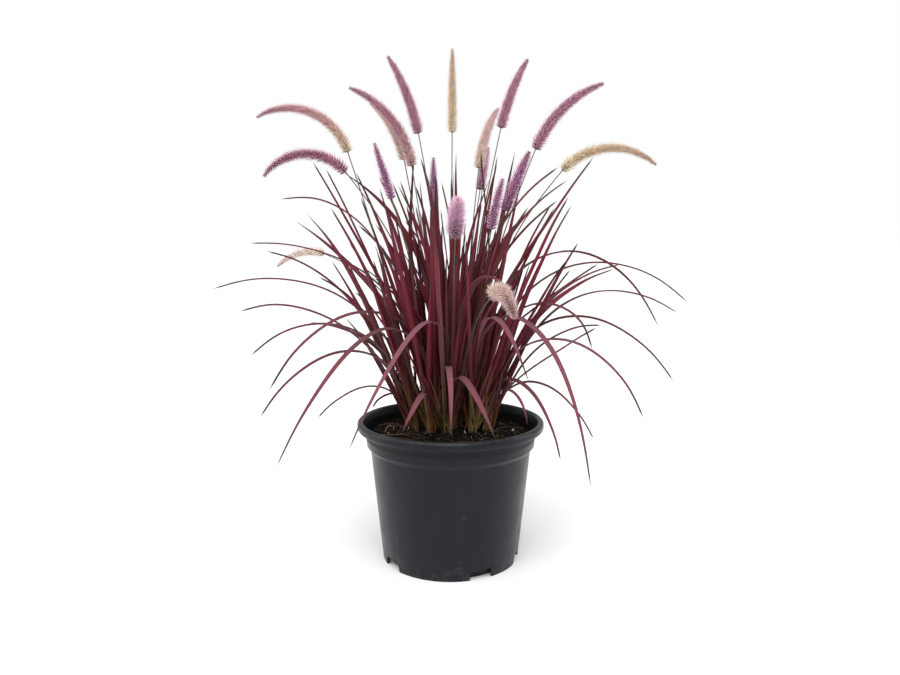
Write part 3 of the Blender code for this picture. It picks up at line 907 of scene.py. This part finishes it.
def pot_stations(settings):
    """Radius and height of each ring: from the underside's disc out, up, over the lip and down inside."""
    rim, collar, body = settings.rim_radius, settings.collar_radius, settings.body_radius
    foot, wall = settings.foot_radius, settings.wall
    collar_foot = collar - COLLAR_TAPER
    inner_foot = foot - SKIRT_WALL
    half = LIP_WIDTH / 2
    stations = [(CHANNEL_RADIUS, CHANNEL_RISE), (inner_foot, CHANNEL_RISE), (inner_foot, 0.0), (foot, 0.0)]
    stations += [(body, LEDGE), (collar_foot, COLLAR_FOOT), (collar, LIP_FOOT)]
    stations += [(rim - inset, LIP_FOOT + rise) for inset, rise in LIP_EDGE]
    for step in range(LIP_STEPS + 1):
        turn = math.pi * step / LIP_STEPS
        height = POT_HIGH - LIP_RISE + LIP_RISE * math.sin(turn)
        stations.append((rim - half + half * math.cos(turn), height))
    stations += [(collar - wall, LIP_FOOT), (collar_foot - wall, COLLAR_FOOT), (body - wall, LEDGE)]
    stations += [(inner_foot, CHANNEL_RISE + wall), (CHANNEL_RADIUS, CHANNEL_RISE + wall)]
    return stations + [(DISC_RADIUS, wall)]


def turned_pot(settings):
    """The pot drawn out of one disc, ring by ring, by extruding and resizing its cap."""
    deselect()
    bpy.ops.mesh.primitive_circle_add(vertices=POT_SIDES, radius=DISC_RADIUS, fill_type="NGON")
    pot = named("nursery_pot")
    radius, height = DISC_RADIUS, 0.0
    with editing(pot):
        bpy.ops.mesh.select_mode(type="FACE")
        bpy.ops.mesh.select_all(action="SELECT")
        for to_radius, to_height in pot_stations(settings):
            bpy.ops.mesh.extrude_region_move(TRANSFORM_OT_translate={"value": (0, 0, to_height - height)})
            grow = to_radius / radius
            bpy.ops.transform.resize(value=(grow, grow, 1.0), center_override=(0, 0, to_height))
            radius, height = to_radius, to_height
    face_out(pot)
    return pot


def cut_notches(pot, settings):
    """The foot notches, cut with flared blocks."""
    blocks = []
    for bearing in NOTCH_BEARINGS:
        deselect()
        bpy.ops.mesh.primitive_cube_add(
            size=1.0, location=(settings.foot_radius - NOTCH_INSET, 0, 0), scale=NOTCH_BLOCK
        )
        block = named("notch_block")
        settle(block)
        with editing(block):
            pick(block, lambda place: place.z > 0)
            top = (0, 0, NOTCH_BLOCK[2] / 2)
            bpy.ops.transform.resize(value=(1.0, NOTCH_TAPER, 1.0), center_override=top)
        block.rotation_euler.z = math.radians(bearing)
        settle(block)
        blocks.append(block)
    deselect()
    for block in blocks:
        block.select_set(True)
    bpy.context.view_layer.objects.active = blocks[0]
    bpy.ops.object.join()
    cutter = bpy.context.object
    finish_with(pot, "BOOLEAN", object=cutter, operation="DIFFERENCE", solver="EXACT")
    bpy.data.objects.remove(cutter, do_unlink=True)


class POT_OT_build(bpy.types.Operator):
    """The moulded pot with its rolled rim, collar, ledge, foot notches and sunk underside"""

    bl_idname = "grass.pot"
    bl_label = "Nursery pot"

    def execute(self, context):
        settings = context.scene.grass_pot
        pot = turned_pot(settings)
        cut_notches(pot, settings)
        finish_with(
            pot, "BEVEL", width=settings.edge, segments=3, limit_method="ANGLE", angle_limit=math.radians(28),
            use_clamp_overlap=True,
        )
        smooth(pot, 42)
        keep(pot, plastic_material(settings.colour), "pot_plastic", "pot")
        return {"FINISHED"}


# ---------------- soil


PLUG_TOP = 0.139
PLUG_RADII = (0.0962, 0.0984)
# Each further ring of the root ball, downwards: its drop, how much it narrows and its height
PLUG_RINGS = ((-0.010, 0.95, 0.129), (-0.117, 0.85, 0.012))
SURFACE_RINGS = 52
SURFACE_INSET = 0.00185
# How far from the middle the loose pieces lie, and where a fibre ends at the wall
CRUMB_REACH = 0.0975
GRAIN_REACH = 0.094
FIBRE_REACH = 0.092
FIBRE_EDGE = 0.0965
# The soil's relief: width of its lumps, where their noise is read and their share
SOIL_WAVES = ((0.018, 0.3, 0.42), (0.0060, 1.7, 0.30), (0.0024, 4.1, 0.14))


def soil_height(x, y, relief):
    """Height of the soil: broad lumps, small crumbs and a slight rise round the clump."""
    waves = sum(share * noise.noise(Vector((x, y, level)) / size) for size, level, share in SOIL_WAVES)
    mound = math.exp(-((x / 0.06) ** 2 + ((y - 0.03) / 0.045) ** 2))
    return SOIL_TOP - 0.6 * relief + relief * (waves + 0.4 * mound)


def add_soil_body(settings, material):
    """The root ball: a tapered plug with a finely ringed top pushed into lumps."""
    deselect()
    bpy.ops.mesh.primitive_cone_add(
        vertices=160, radius1=PLUG_RADII[0], radius2=PLUG_RADII[1], depth=SOIL_TOP - PLUG_TOP,
        location=(0, 0, (SOIL_TOP + PLUG_TOP) / 2),
    )
    soil = named("soil_surface")
    settle(soil)
    with editing(soil):
        pick(soil, lambda place: place.z < PLUG_TOP + 0.001)
        for drop, grow, height in PLUG_RINGS:
            bpy.ops.mesh.extrude_region_move(TRANSFORM_OT_translate={"value": (0, 0, drop)})
            bpy.ops.transform.resize(value=(grow, grow, 1.0), center_override=(0, 0, height))
        bpy.ops.mesh.select_mode(type="FACE")
        mesh = bmesh.from_edit_mesh(soil.data)
        for face in mesh.faces:
            face.select = face.normal.z > 0.9
        bmesh.update_edit_mesh(soil.data)
        for _ in range(SURFACE_RINGS):
            bpy.ops.mesh.inset(thickness=SURFACE_INSET)
        bpy.ops.mesh.poke()
    for corner in soil.data.vertices:
        if corner.co.z > SOIL_TOP - 0.001:
            corner.co.z = soil_height(corner.co.x, corner.co.y, settings.relief)
    smooth(soil, 60)
    return keep(soil, material, "soil_mix", "soil")


def turned_frame(draw):
    """Three square directions turned at random."""
    first = np.array([draw.gauss(0, 1) for _ in range(3)])
    first /= np.linalg.norm(first)
    second = np.cross(first, [draw.gauss(0, 1) for _ in range(3)])
    second /= np.linalg.norm(second)
    return first, second, np.cross(first, second)


def scattered(draw, widest):
    """A place on the soil, evenly spread within a circle."""
    turn, reach = draw.uniform(0, math.tau), widest * math.sqrt(draw.random())
    return reach * math.cos(turn), reach * math.sin(turn)


def lump(copies, pattern, middle, size, draw, shade):
    """One copy of a rough lump: size is its three widths."""
    axes = turned_frame(draw)
    points = middle + sum(pattern.points[:, [i]] * size[i] * axes[i] for i in range(3))
    paint = np.tile((draw.random(), 0.5, 0.0), (len(points), 1))
    copies.add(pattern, points, paint, (shade, draw.random(), draw.random()))


def add_crumbs(settings, pattern, material):
    """Loose crumbs of the mix, many small and a few large, flattened as bark is."""
    draw = random.Random(31)
    copies = Copies()
    for _ in range(settings.lumps):
        x, y = scattered(draw, CRUMB_REACH)
        long = min(0.0075, 0.0011 * math.exp(abs(draw.gauss(0, 0.75))))
        size = (long, long * draw.uniform(0.5, 0.9), long * draw.uniform(0.25, 0.6))
        middle = np.array((x, y, soil_height(x, y, settings.relief) + size[2] * 0.2))
        lump(copies, pattern, middle, size, draw, draw.random() ** 2.2)
    return keep(copies.mesh("soil_crumbs"), material, "soil_mix")


# Place, length and height of the larger white grains
LARGE_GRAINS = (
    (0.0765, 0.0095, 0.0036, 0.0028),
    (0.0175, -0.0009, 0.0066, 0.0016),
    (-0.052, 0.020, 0.0024, 0.0020),
)


def add_perlite(settings, pattern):
    """A few white grains, a larger one to the right and a pale chip before the clump."""
    draw = random.Random(8)
    copies = Copies()
    grains = list(LARGE_GRAINS)
    for _ in range(settings.grains):
        place = scattered(draw, GRAIN_REACH)
        long = draw.uniform(0.0007, 0.0018)
        grains.append((*place, long, long * 0.8))
    for x, y, long, high in grains:
        middle = np.array((x, y, soil_height(x, y, settings.relief) + high * 0.45))
        lump(copies, pattern, middle, (long, high, high), draw, draw.random())
    return keep(copies.mesh("soil_perlite_grains"), perlite_material(), "soil_mix")


def strand_paint(pattern, number, reach):
    """Values painted on a strand: its own number, how far along it and across it."""
    points = pattern.points
    return np.column_stack([np.full(len(points), number), points[:, 2] * reach, points[:, 0]])


def add_fibres(settings, pattern, material):
    """Thin fibres that lie over the crumbs in loose curves."""
    draw = random.Random(17)
    copies = Copies()
    for _ in range(settings.fibres):
        x, y = scattered(draw, FIBRE_REACH)
        heading, bend = draw.uniform(0, math.tau), draw.gauss(0, 0.55)
        step = draw.uniform(0.0018, 0.0075)
        lift = draw.uniform(0.0, 0.0016)
        points = []
        for knot in range(5):
            if math.hypot(x, y) > FIBRE_EDGE:
                break
            rise = 0.0009 + lift * math.sin(knot * 1.3)
            points.append((x, y, soil_height(x, y, settings.relief) + rise))
            heading += bend + draw.gauss(0, 0.25)
            x += step * math.cos(heading)
            y += step * math.sin(heading)
        if len(points) < 3:
            continue
        thick = draw.uniform(0.00022, 0.00060)
        shade = draw.random() ** 2.4
        paint = strand_paint(pattern, draw.random() * 9, 1.0)
        copies.add(pattern, Line(points, steps=16).bend(pattern, thick), paint, (shade, draw.random(), 0.0))
    return keep(copies.mesh("soil_fibres"), material, "soil_mix")


# Thickness, paleness and course of each longer rootlet, its heights above the soil
ROOTLETS = (
    (0.0014, 0.95, (
        (-0.079, -0.004, 0.0), (-0.0775, 0.001, 0.0035), (-0.073, 0.004, 0.0050), (-0.0690, 0.001, 0.0038),
        (-0.0695, -0.003, 0.0015),
    )),
    (0.0007, 0.55, (
        (0.0130, 0.010, 0.032), (0.0205, -0.004, 0.018), (0.0290, -0.018, 0.006), (0.0370, -0.030, 0.001),
    )),
    (0.0006, 0.45, (
        (0.0330, 0.012, 0.030), (0.0250, 0.002, 0.019), (0.0190, -0.010, 0.009), (0.0150, -0.018, 0.001),
    )),
    (0.0008, 0.35, (
        (-0.090, 0.020, 0.001), (-0.078, 0.024, 0.003), (-0.063, 0.020, 0.002), (-0.050, 0.013, 0.000),
    )),
    (0.0008, 0.30, (
        (0.052, -0.006, 0.001), (0.063, 0.004, 0.003), (0.078, 0.010, 0.002), (0.090, 0.008, 0.001),
    )),
    (0.0007, 0.40, (
        (-0.083, -0.022, 0.001), (-0.066, -0.026, 0.002), (-0.048, -0.020, 0.002), (-0.034, -0.024, 0.0),
    )),
)


def add_rootlets(pattern, material):
    """The longer rootlets: a pale curl to the left and thin ones before the clump."""
    copies = Copies()
    for number, (thick, shade, places) in enumerate(ROOTLETS):
        line = Line([(x, y, SOIL_TOP + high) for x, y, high in places], steps=24)
        paint = strand_paint(pattern, number * 1.7, 0.5)
        copies.add(pattern, line.bend(pattern, thick), paint, (shade, 0.5, 0.0))
    return keep(copies.mesh("soil_rootlets"), material, "soil_mix")


class SOIL_OT_build(bpy.types.Operator):
    """The root ball, and the crumbs, fibres, rootlets and perlite loose on top of it"""

    bl_idname = "grass.soil"
    bl_label = "Potting soil"

    def execute(self, context):
        settings = context.scene.grass_soil
        crumb = crumb_pattern()
        fibre = stalk_pattern("fibre", 4, 10, 0.5)
        add_soil_body(settings, soil_material("soil_ground", settings.colour, 0.0))
        add_crumbs(settings, crumb, soil_material("soil_crumbs", settings.colour, 0.45))
        add_perlite(settings, crumb)
        straw = fibre_material()
        add_fibres(settings, fibre, straw)
        add_rootlets(fibre, straw)
        return {"FINISHED"}


# ---------------- shoots

CLUMP_CENTRE = np.array((0.0, 0.032, 0.0))
CLUMP_REACH = (0.050, 0.034)
GROWN_STEPS = 30
GROWN_BEND = 0.9**3
# Within this share of the clump's reach a shoot is central, with this many times the inner blades
CENTRAL_SHARE = 0.6
CENTRAL_TIMES = 3
# How far shoots at the edge of the clump lean out; angles in degrees
INNER_LEAN = 21
SHEATH_LEAN = 24
# Spans of width, darkness and pinkness of a blade that arches away, to the far sides, or to the front; the
# pinkness is partly painted sheen, highest on blades that arch to the front
ARCHING_SPANS = {
    "away": ((0.76, 0.96), (0.35, 0.85), (0.10, 0.45)),
    "aside": ((0.86, 1.06), (0.30, 0.70), (0.25, 0.60)),
    "front": ((0.82, 1.02), (0.10, 0.50), (0.40, 0.90)),
}


def grown_line(foot, bearing, lean, tip_lean, length, draw):
    """The line of a blade that leans more and more along its length; angles in degrees."""
    out = np.array((math.cos(math.radians(bearing)), math.sin(math.radians(bearing)), 0.0))
    place = np.array(foot, float)
    points = [place.copy()]
    for step in range(GROWN_STEPS):
        share = (step + 0.5) / GROWN_STEPS
        blend = share**3 / (share**3 + GROWN_BEND) * (1 + GROWN_BEND)
        angle = math.radians(lean + (tip_lean - lean) * blend)
        place += (out * math.sin(angle) + UP * math.cos(angle)) * length / GROWN_STEPS
        if step % 5 == 4:
            points.append(place.copy())
    return Line(points, facing(points, draw))


class Blades:
    """Blades of one shoot, each bent along its line."""

    def __init__(self, pattern, draw):
        self.pattern, self.draw = pattern, draw
        self.copies = Copies()
        high = pattern.points[:, 2]
        wide = np.array([0.5 * blade_width(min(max(z, 0.0), 1.0)) + 1e-4 for z in high])
        self.across = np.clip(pattern.points[:, 0] / wide, -1.0, 1.0)
        self.along = high

    def add(self, line, width, green=0.0, rust=None, dark=None, pink=None):
        """green is the share of the blade, from its foot, that a sheath takes."""
        draw = self.draw
        rust = draw.random() ** 1.5 if rust is None else rust
        if dark is None:
            dark = draw.uniform(0.65, 1.0) if draw.random() < 0.17 else draw.uniform(0.0, 0.36)
        # pink: the blade's own pink tone, and on arching blades also painted sheen
        pink = draw.random() ** 4.0 * 0.5 if pink is None else pink
        along = self.along * (1.0 - green)
        paint = np.column_stack([self.across, along, np.full(len(along), draw.random() * 40)])
        self.copies.add(self.pattern, line.bend(self.pattern, width), paint, (dark, rust, pink))


def add_shoot(node, pattern, settings, number):
    """One shoot: its main blades on the lines of its solid, finer blades between them, and its sheaths."""
    draw = random.Random(100 + number)
    foot = foot_of(node)
    blades = Blades(pattern, draw)
    for line, arching in leaf_lines(node, foot, draw):
        if arching:
            far = line.at(0.8)[0]
            if far[1] > foot[1] - 0.04:
                spans = ARCHING_SPANS["away"]
            else:
                spans = ARCHING_SPANS["aside" if abs(far[0]) > 0.08 else "front"]
            # the pinkness drawn here is partly painted sheen on the blade's upper face
            width, dark, pink = (draw.uniform(*span) for span in spans)
            blades.add(line, settings.width * width, dark=dark, pink=pink)
        else:
            blades.add(line, settings.width * draw.uniform(0.84, 1.12))
    away = foot - CLUMP_CENTRE
    reach = math.hypot(away[0] / CLUMP_REACH[0], away[1] / CLUMP_REACH[1])
    bearing = math.degrees(math.atan2(away[1], away[0]))
    central = reach < CENTRAL_SHARE
    for turn in range(settings.inner * (CENTRAL_TIMES if central else 1)):
        start = foot + np.array((draw.uniform(-0.005, 0.005), draw.uniform(-0.005, 0.005), -ROOT_DEPTH))
        lean = draw.uniform(-5, 4) + INNER_LEAN * reach * draw.uniform(0.0 if central else 0.3, 1.0)
        if central and turn % 4 == 0:
            lean = -lean
        tip_lean = lean + draw.choice((2, 8, 20, 45)) * draw.uniform(0.6, 1.2)
        turned = bearing + draw.uniform(-55, 55)
        line = grown_line(start, turned, lean, tip_lean, draw.uniform(0.13, 0.32 if central else 0.24), draw)
        blades.add(line, settings.width * draw.uniform(0.62, 1.08))
    for _ in range(settings.sheaths):
        start = foot + np.array((draw.uniform(-0.007, 0.007), draw.uniform(-0.007, 0.007), -ROOT_DEPTH))
        lean = 2 + SHEATH_LEAN * reach * draw.uniform(0.5, 1.2)
        turned = bearing + draw.uniform(-70, 70)
        line = grown_line(start, turned, lean, lean + draw.uniform(0, 14), draw.uniform(0.05, 0.12), draw)
        dark = draw.choice((0.0, 0.1, 0.3, 0.6, 1.0))
        blades.add(line, settings.width * draw.uniform(0.36, 0.56), green=draw.uniform(0.35, 0.7), dark=dark)
    return blades.copies.mesh(f"shoot_blades_{number:02d}")


class BLADES_OT_build(bpy.types.Operator):
    """The grass shoots: arching and upright blades, finer inner blades and the sheaths at their feet"""

    bl_idname = "grass.blades"
    bl_label = "Grass shoots"

    def execute(self, context):
        settings = context.scene.grass_blades
        pattern = blade_pattern()
        material = blade_material(settings)
        for number, node in enumerate(SHOOTS, start=1):
            keep(add_shoot(node, pattern, settings, number), material, "shoot_burgundy", node)
        return {"FINISHED"}


# ---------------- flower stems and spikes

STEM_WIDTH = 0.0018


class STEMS_OT_build(bpy.types.Operator):
    """The thin stems that carry the spikes"""

    bl_idname = "grass.stems"
    bl_label = "Flower stems"

    def execute(self, context):
        pattern = stalk_pattern("stem", 7, 40)
        material = stem_material()
        draw = random.Random(3)
        for number, node in enumerate(STEMS, start=1):
            centres, _ = stem_rings(node)
            centres[0] = centres[0] - ROOT_DEPTH * UP
            copies = Copies()
            points = pattern.points
            mark = np.full(len(points), draw.random() * 30)
            paint = np.column_stack([points[:, 0] * 2, points[:, 2], mark])
            copies.add(pattern, Line(centres).bend(pattern, STEM_WIDTH), paint, (draw.random(), 0.0, 0.0))
            keep(copies.mesh(f"flower_stalk_{number:02d}"), material, "stem_green", node)
        return {"FINISHED"}


# Each tone: the colours of the foot, middle and tip of a spike, and of its hair ends
SPIKE_TONES = {
    "mauve": ((0.36, 0.125, 0.19), (0.315, 0.090, 0.165), (0.24, 0.065, 0.115), (0.72, 0.43, 0.54)),
    "tan_to_mauve": ((0.66, 0.52, 0.31), (0.49, 0.22, 0.235), (0.32, 0.105, 0.16), (0.80, 0.60, 0.58)),
    "rose": ((0.50, 0.31, 0.25), (0.35, 0.11, 0.165), (0.25, 0.075, 0.125), (0.72, 0.47, 0.52)),
    "blush": ((0.64, 0.48, 0.35), (0.58, 0.36, 0.32), (0.46, 0.24, 0.26), (0.84, 0.68, 0.64)),
    "golden": ((0.66, 0.54, 0.32), (0.60, 0.41, 0.26), (0.48, 0.29, 0.22), (0.82, 0.70, 0.56)),
    "cream": ((0.78, 0.64, 0.52), (0.80, 0.62, 0.54), (0.76, 0.56, 0.52), (0.92, 0.83, 0.78)),
    "violet": ((0.36, 0.115, 0.25), (0.33, 0.095, 0.22), (0.29, 0.080, 0.15), (0.74, 0.46, 0.65)),
    "pink": ((0.27, 0.095, 0.17), (0.66, 0.32, 0.48), (0.74, 0.42, 0.56), (0.88, 0.64, 0.77)),
}
SPIKE_ORDER = (
    "tan_to_mauve", "mauve", "rose", "blush", "mauve", "golden", "mauve", "blush", "mauve",
    "golden", "violet", "violet", "pink", "violet", "violet", "pink", "blush", "cream",
)
# How full a spike is along it, as a share of its fullest
SPIKE_SHARES = (0.0, 0.06, 0.30, 0.60, 0.82, 0.95, 1.0)
SPIKE_FULLNESS = (0.86, 1.0, 0.96, 0.80, 0.58, 0.36, 0.20)
# Radius of its axis, longest gap between whorls and reach of its husks, over its fullest radius
AXIS_SHARE = 0.36
WHORL_SHARE = 0.44
HUSK_SHARE = 0.84
# Hairs lean out by SPLAY, and by FLARE more at the foot and less at the tip; angles in degrees
SPLAY = 54
FLARE = 12
FOOT_SHARE = 0.08
HUSK_SLIMNESS = 0.200
BRISTLE_WIDTH = 0.00050


def hair(copies, pattern, kind, share, root, aim, length, width, draw):
    """One husk or bristle: a pattern stood on its root and pointed along aim."""
    first = np.cross(aim, (0.2, 0.3, 0.93))
    first /= np.linalg.norm(first)
    second = np.cross(aim, first)
    across = pattern.points[:, [0]] * width * first + pattern.points[:, [1]] * width * second
    points = root + across + pattern.points[:, [2]] * length * aim
    paint = np.column_stack(
        [np.full(len(points), share), pattern.points[:, 2], np.full(len(points), float(kind))]
    )
    copies.add(pattern, points, paint, (draw.random(), draw.random(), draw.random()))


def leaning(line_at, swing, splay):
    """The direction of a hair that leans out from the axis by splay, swing round it."""
    _, along, side = line_at
    out = side * math.cos(swing) + np.cross(along, side) * math.sin(swing)
    return along * math.cos(splay) + out * math.sin(splay)


def add_spike(node, number, settings, patterns):
    """One bristly spike: its axis, its husks in whorls and the bristles beside them."""
    core, husk, bristle = patterns
    centres, reach = spike_rings(node)
    line = Line(centres)
    fullest = settings.fullness * max(reach)
    draw = random.Random(500 + number)
    copies = Copies()
    paint = np.column_stack([core.points[:, 2], core.points[:, 2], np.zeros(len(core.points))])
    copies.add(core, line.bend(core, fullest * AXIS_SHARE), paint, (0.5, 0.5, 0.5))
    whorls = int(line.length / min(settings.pitch, WHORL_SHARE * fullest))
    spoke = 2 * math.pi / settings.spokes
    for turn in range(whorls * settings.spokes):
        whorl = turn // settings.spokes
        share = min(max((whorl + 0.15 + draw.uniform(-0.07, 0.07)) / whorls, 0.0), 0.995)
        here = line.at(share)
        swing = (turn + 0.5 * (whorl % 2) + draw.uniform(-0.2, 0.2)) * spoke
        full = np.interp(share, SPIKE_SHARES, SPIKE_FULLNESS) * fullest * draw.uniform(0.94, 1.05)
        left = (1.0 - share) * line.length + 0.0012
        low = max(0.0, 1.0 - share / FOOT_SHARE)
        flare = math.radians(FLARE) * (low - share)
        splay = math.radians(SPLAY + draw.uniform(-3, 3)) + flare
        length = min(max(HUSK_SHARE * full / math.sin(splay), 0.0016), left * 1.1)
        aim = leaning(here, swing, splay)
        hair(copies, husk, 1, share, here[0], aim, length, 0.00020 + length * HUSK_SLIMNESS, draw)
        for _ in range(settings.bristles * (2 if low else 1)):
            veer = swing + draw.uniform(-0.25, 0.25)
            splay = math.radians(SPLAY + draw.uniform(-4, 4) * (1 + 3 * low)) + flare
            length = min(full * draw.uniform(1.0, 1.28) / math.sin(splay), left * 1.25)
            hair(copies, bristle, 2, share, here[0], leaning(here, veer, splay), length, BRISTLE_WIDTH, draw)
    return copies.mesh(f"flower_head_{number:02d}")


class SPIKES_OT_build(bpy.types.Operator):
    """The bristly flower spikes, each in its own tone"""

    bl_idname = "grass.spikes"
    bl_label = "Flower spikes"

    def execute(self, context):
        settings = context.scene.grass_spikes
        patterns = stalk_pattern("axis", 6, 24, 0.2), spikelet_pattern(), bristle_pattern()
        materials = {name: spike_material(name, tones) for name, tones in SPIKE_TONES.items()}
        for number, node in enumerate(SPIKES, start=1):
            spike = add_spike(node, number, settings, patterns)
            keep(spike, materials[SPIKE_ORDER[number - 1]], "spike_mauve", node)
        return {"FINISHED"}


# ---------------- stage

CAMERA_PLACE = (-0.0007, -0.900, 0.3897)
CAMERA_PITCH = 7.62
CAMERA_LENS = 30.35
COOL_WHITE = (0.97, 0.985, 1.0, 1.0)
# Turn of the overhead light about X and Y, and how wide it is; angles in degrees
OVERHEAD_TURN = (36, -4)
OVERHEAD_WIDTH = 70
SOFT_BOX_AIM = (0, 0, 0.2)
SOFT_BOX_PLACES = {"soft_box_left": (-1.7, 0.1, 0.7), "soft_box_right": (1.7, 0.1, 0.7)}
SOFT_BOX_SIZE = 1.2
SOFT_BOX_POWER = 7


def add_floor(settings):
    deselect()
    bpy.ops.mesh.primitive_plane_add(size=settings.floor)
    floor = named("studio_floor")
    material, nodes = new_material("studio_floor_white")
    nodes.surface(
        Base_Color=(0.93, 0.935, 0.94, 1.0), Roughness=0.9, Specular_IOR_Level=0.1,
        Emission_Color=COOL_WHITE, Emission_Strength=0.05,
    )
    floor.data.materials.append(material)
    return floor


def add_soft_box(name, place):
    """A square soft box beside the plant that shines at it."""
    bpy.ops.object.light_add(type="AREA", location=place)
    lamp = named(name)
    lamp.data.shape = "SQUARE"
    lamp.data.size = SOFT_BOX_SIZE
    lamp.data.energy = SOFT_BOX_POWER
    lamp.rotation_euler = (Vector(place) - Vector(SOFT_BOX_AIM)).to_track_quat("Z", "Y").to_euler()
    return lamp


def add_overhead(settings):
    """A wide soft light from above and a little in front, even all over the floor."""
    bpy.ops.object.light_add(type="SUN", rotation=(*map(math.radians, OVERHEAD_TURN), 0))
    lamp = named("overhead_light")
    lamp.data.energy = settings.overhead
    lamp.data.angle = math.radians(OVERHEAD_WIDTH)
    return lamp


def add_world(settings):
    """White all round for the eye; the light that falls is softer from the front."""
    world = bpy.data.worlds.new("studio_white")
    bpy.context.scene.world = world
    world.use_nodes = True
    nodes = Nodes(world.node_tree)
    world.node_tree.nodes.clear()
    heading = nodes.split(nodes.add("TexCoord").outputs["Generated"])
    light = nodes.times(nodes.step(heading["Y"], -0.9, 0.35, 0.42, 1.0), settings.light)
    glow = nodes.add("Background", Color=COOL_WHITE, Strength=light)
    plain = nodes.add("Background", Color=(1.0, 1.0, 1.0, 1.0), Strength=1.0)
    eye = nodes.add("LightPath").outputs["Is Camera Ray"]
    both = nodes.add("MixShader", n0=eye, n1=glow.outputs[0], n2=plain.outputs[0])
    output = nodes.add("OutputWorld")
    world.node_tree.links.new(both.outputs[0], output.inputs["Surface"])


def add_camera():
    bpy.ops.object.camera_add(location=CAMERA_PLACE, rotation=(math.radians(90 - CAMERA_PITCH), 0, 0))
    camera = named("camera")
    camera.data.lens = CAMERA_LENS
    camera.data.sensor_width = 36.0
    bpy.context.scene.camera = camera


class STAGE_OT_build(bpy.types.Operator):
    """The pale floor, the soft white light and the camera"""

    bl_idname = "grass.stage"
    bl_label = "Studio"

    def execute(self, context):
        settings = context.scene.grass_stage
        floor = add_floor(settings)
        add_world(settings)
        lamps = [add_overhead(settings)]
        lamps += [add_soft_box(name, place) for name, place in SOFT_BOX_PLACES.items()]
        add_camera()
        context.scene.view_settings.view_transform = "Standard"
        return {"FINISHED"}


# ---------------- panel and start

OPERATORS = (POT_OT_build, SOIL_OT_build, BLADES_OT_build, STEMS_OT_build, SPIKES_OT_build, STAGE_OT_build)
SETTINGS = {
    "grass_pot": PotSettings,
    "grass_soil": SoilSettings,
    "grass_blades": BladeSettings,
    "grass_spikes": SpikeSettings,
    "grass_stage": StageSettings,
}


class GRASS_PT_panel(bpy.types.Panel):
    """Lists the pieces and their settings"""

    bl_idname = "GRASS_PT_panel"
    bl_label = "Fountain grass"
    bl_space_type = "VIEW_3D"
    bl_region_type = "UI"
    bl_category = "Fountain grass"

    def draw(self, context):
        for operator in OPERATORS:
            self.layout.operator(operator.bl_idname)
        for name, kind in SETTINGS.items():
            box = self.layout.box()
            for label in kind.__annotations__:
                box.prop(getattr(context.scene, name), label)


CLASSES = (*SETTINGS.values(), *OPERATORS, GRASS_PT_panel)


def register():
    for kind in CLASSES:
        bpy.utils.register_class(kind)
    for name, kind in SETTINGS.items():
        setattr(bpy.types.Scene, name, bpy.props.PointerProperty(type=kind))


def unregister():
    for name in SETTINGS:
        delattr(bpy.types.Scene, name)
    for kind in reversed(CLASSES):
        bpy.utils.unregister_class(kind)


def main():
    register()
    bpy.ops.grass.stage()
    bpy.ops.grass.pot()
    bpy.ops.grass.soil()
    bpy.ops.grass.blades()
    bpy.ops.grass.stems()
    bpy.ops.grass.spikes()


if __name__ == "__main__":
    main()
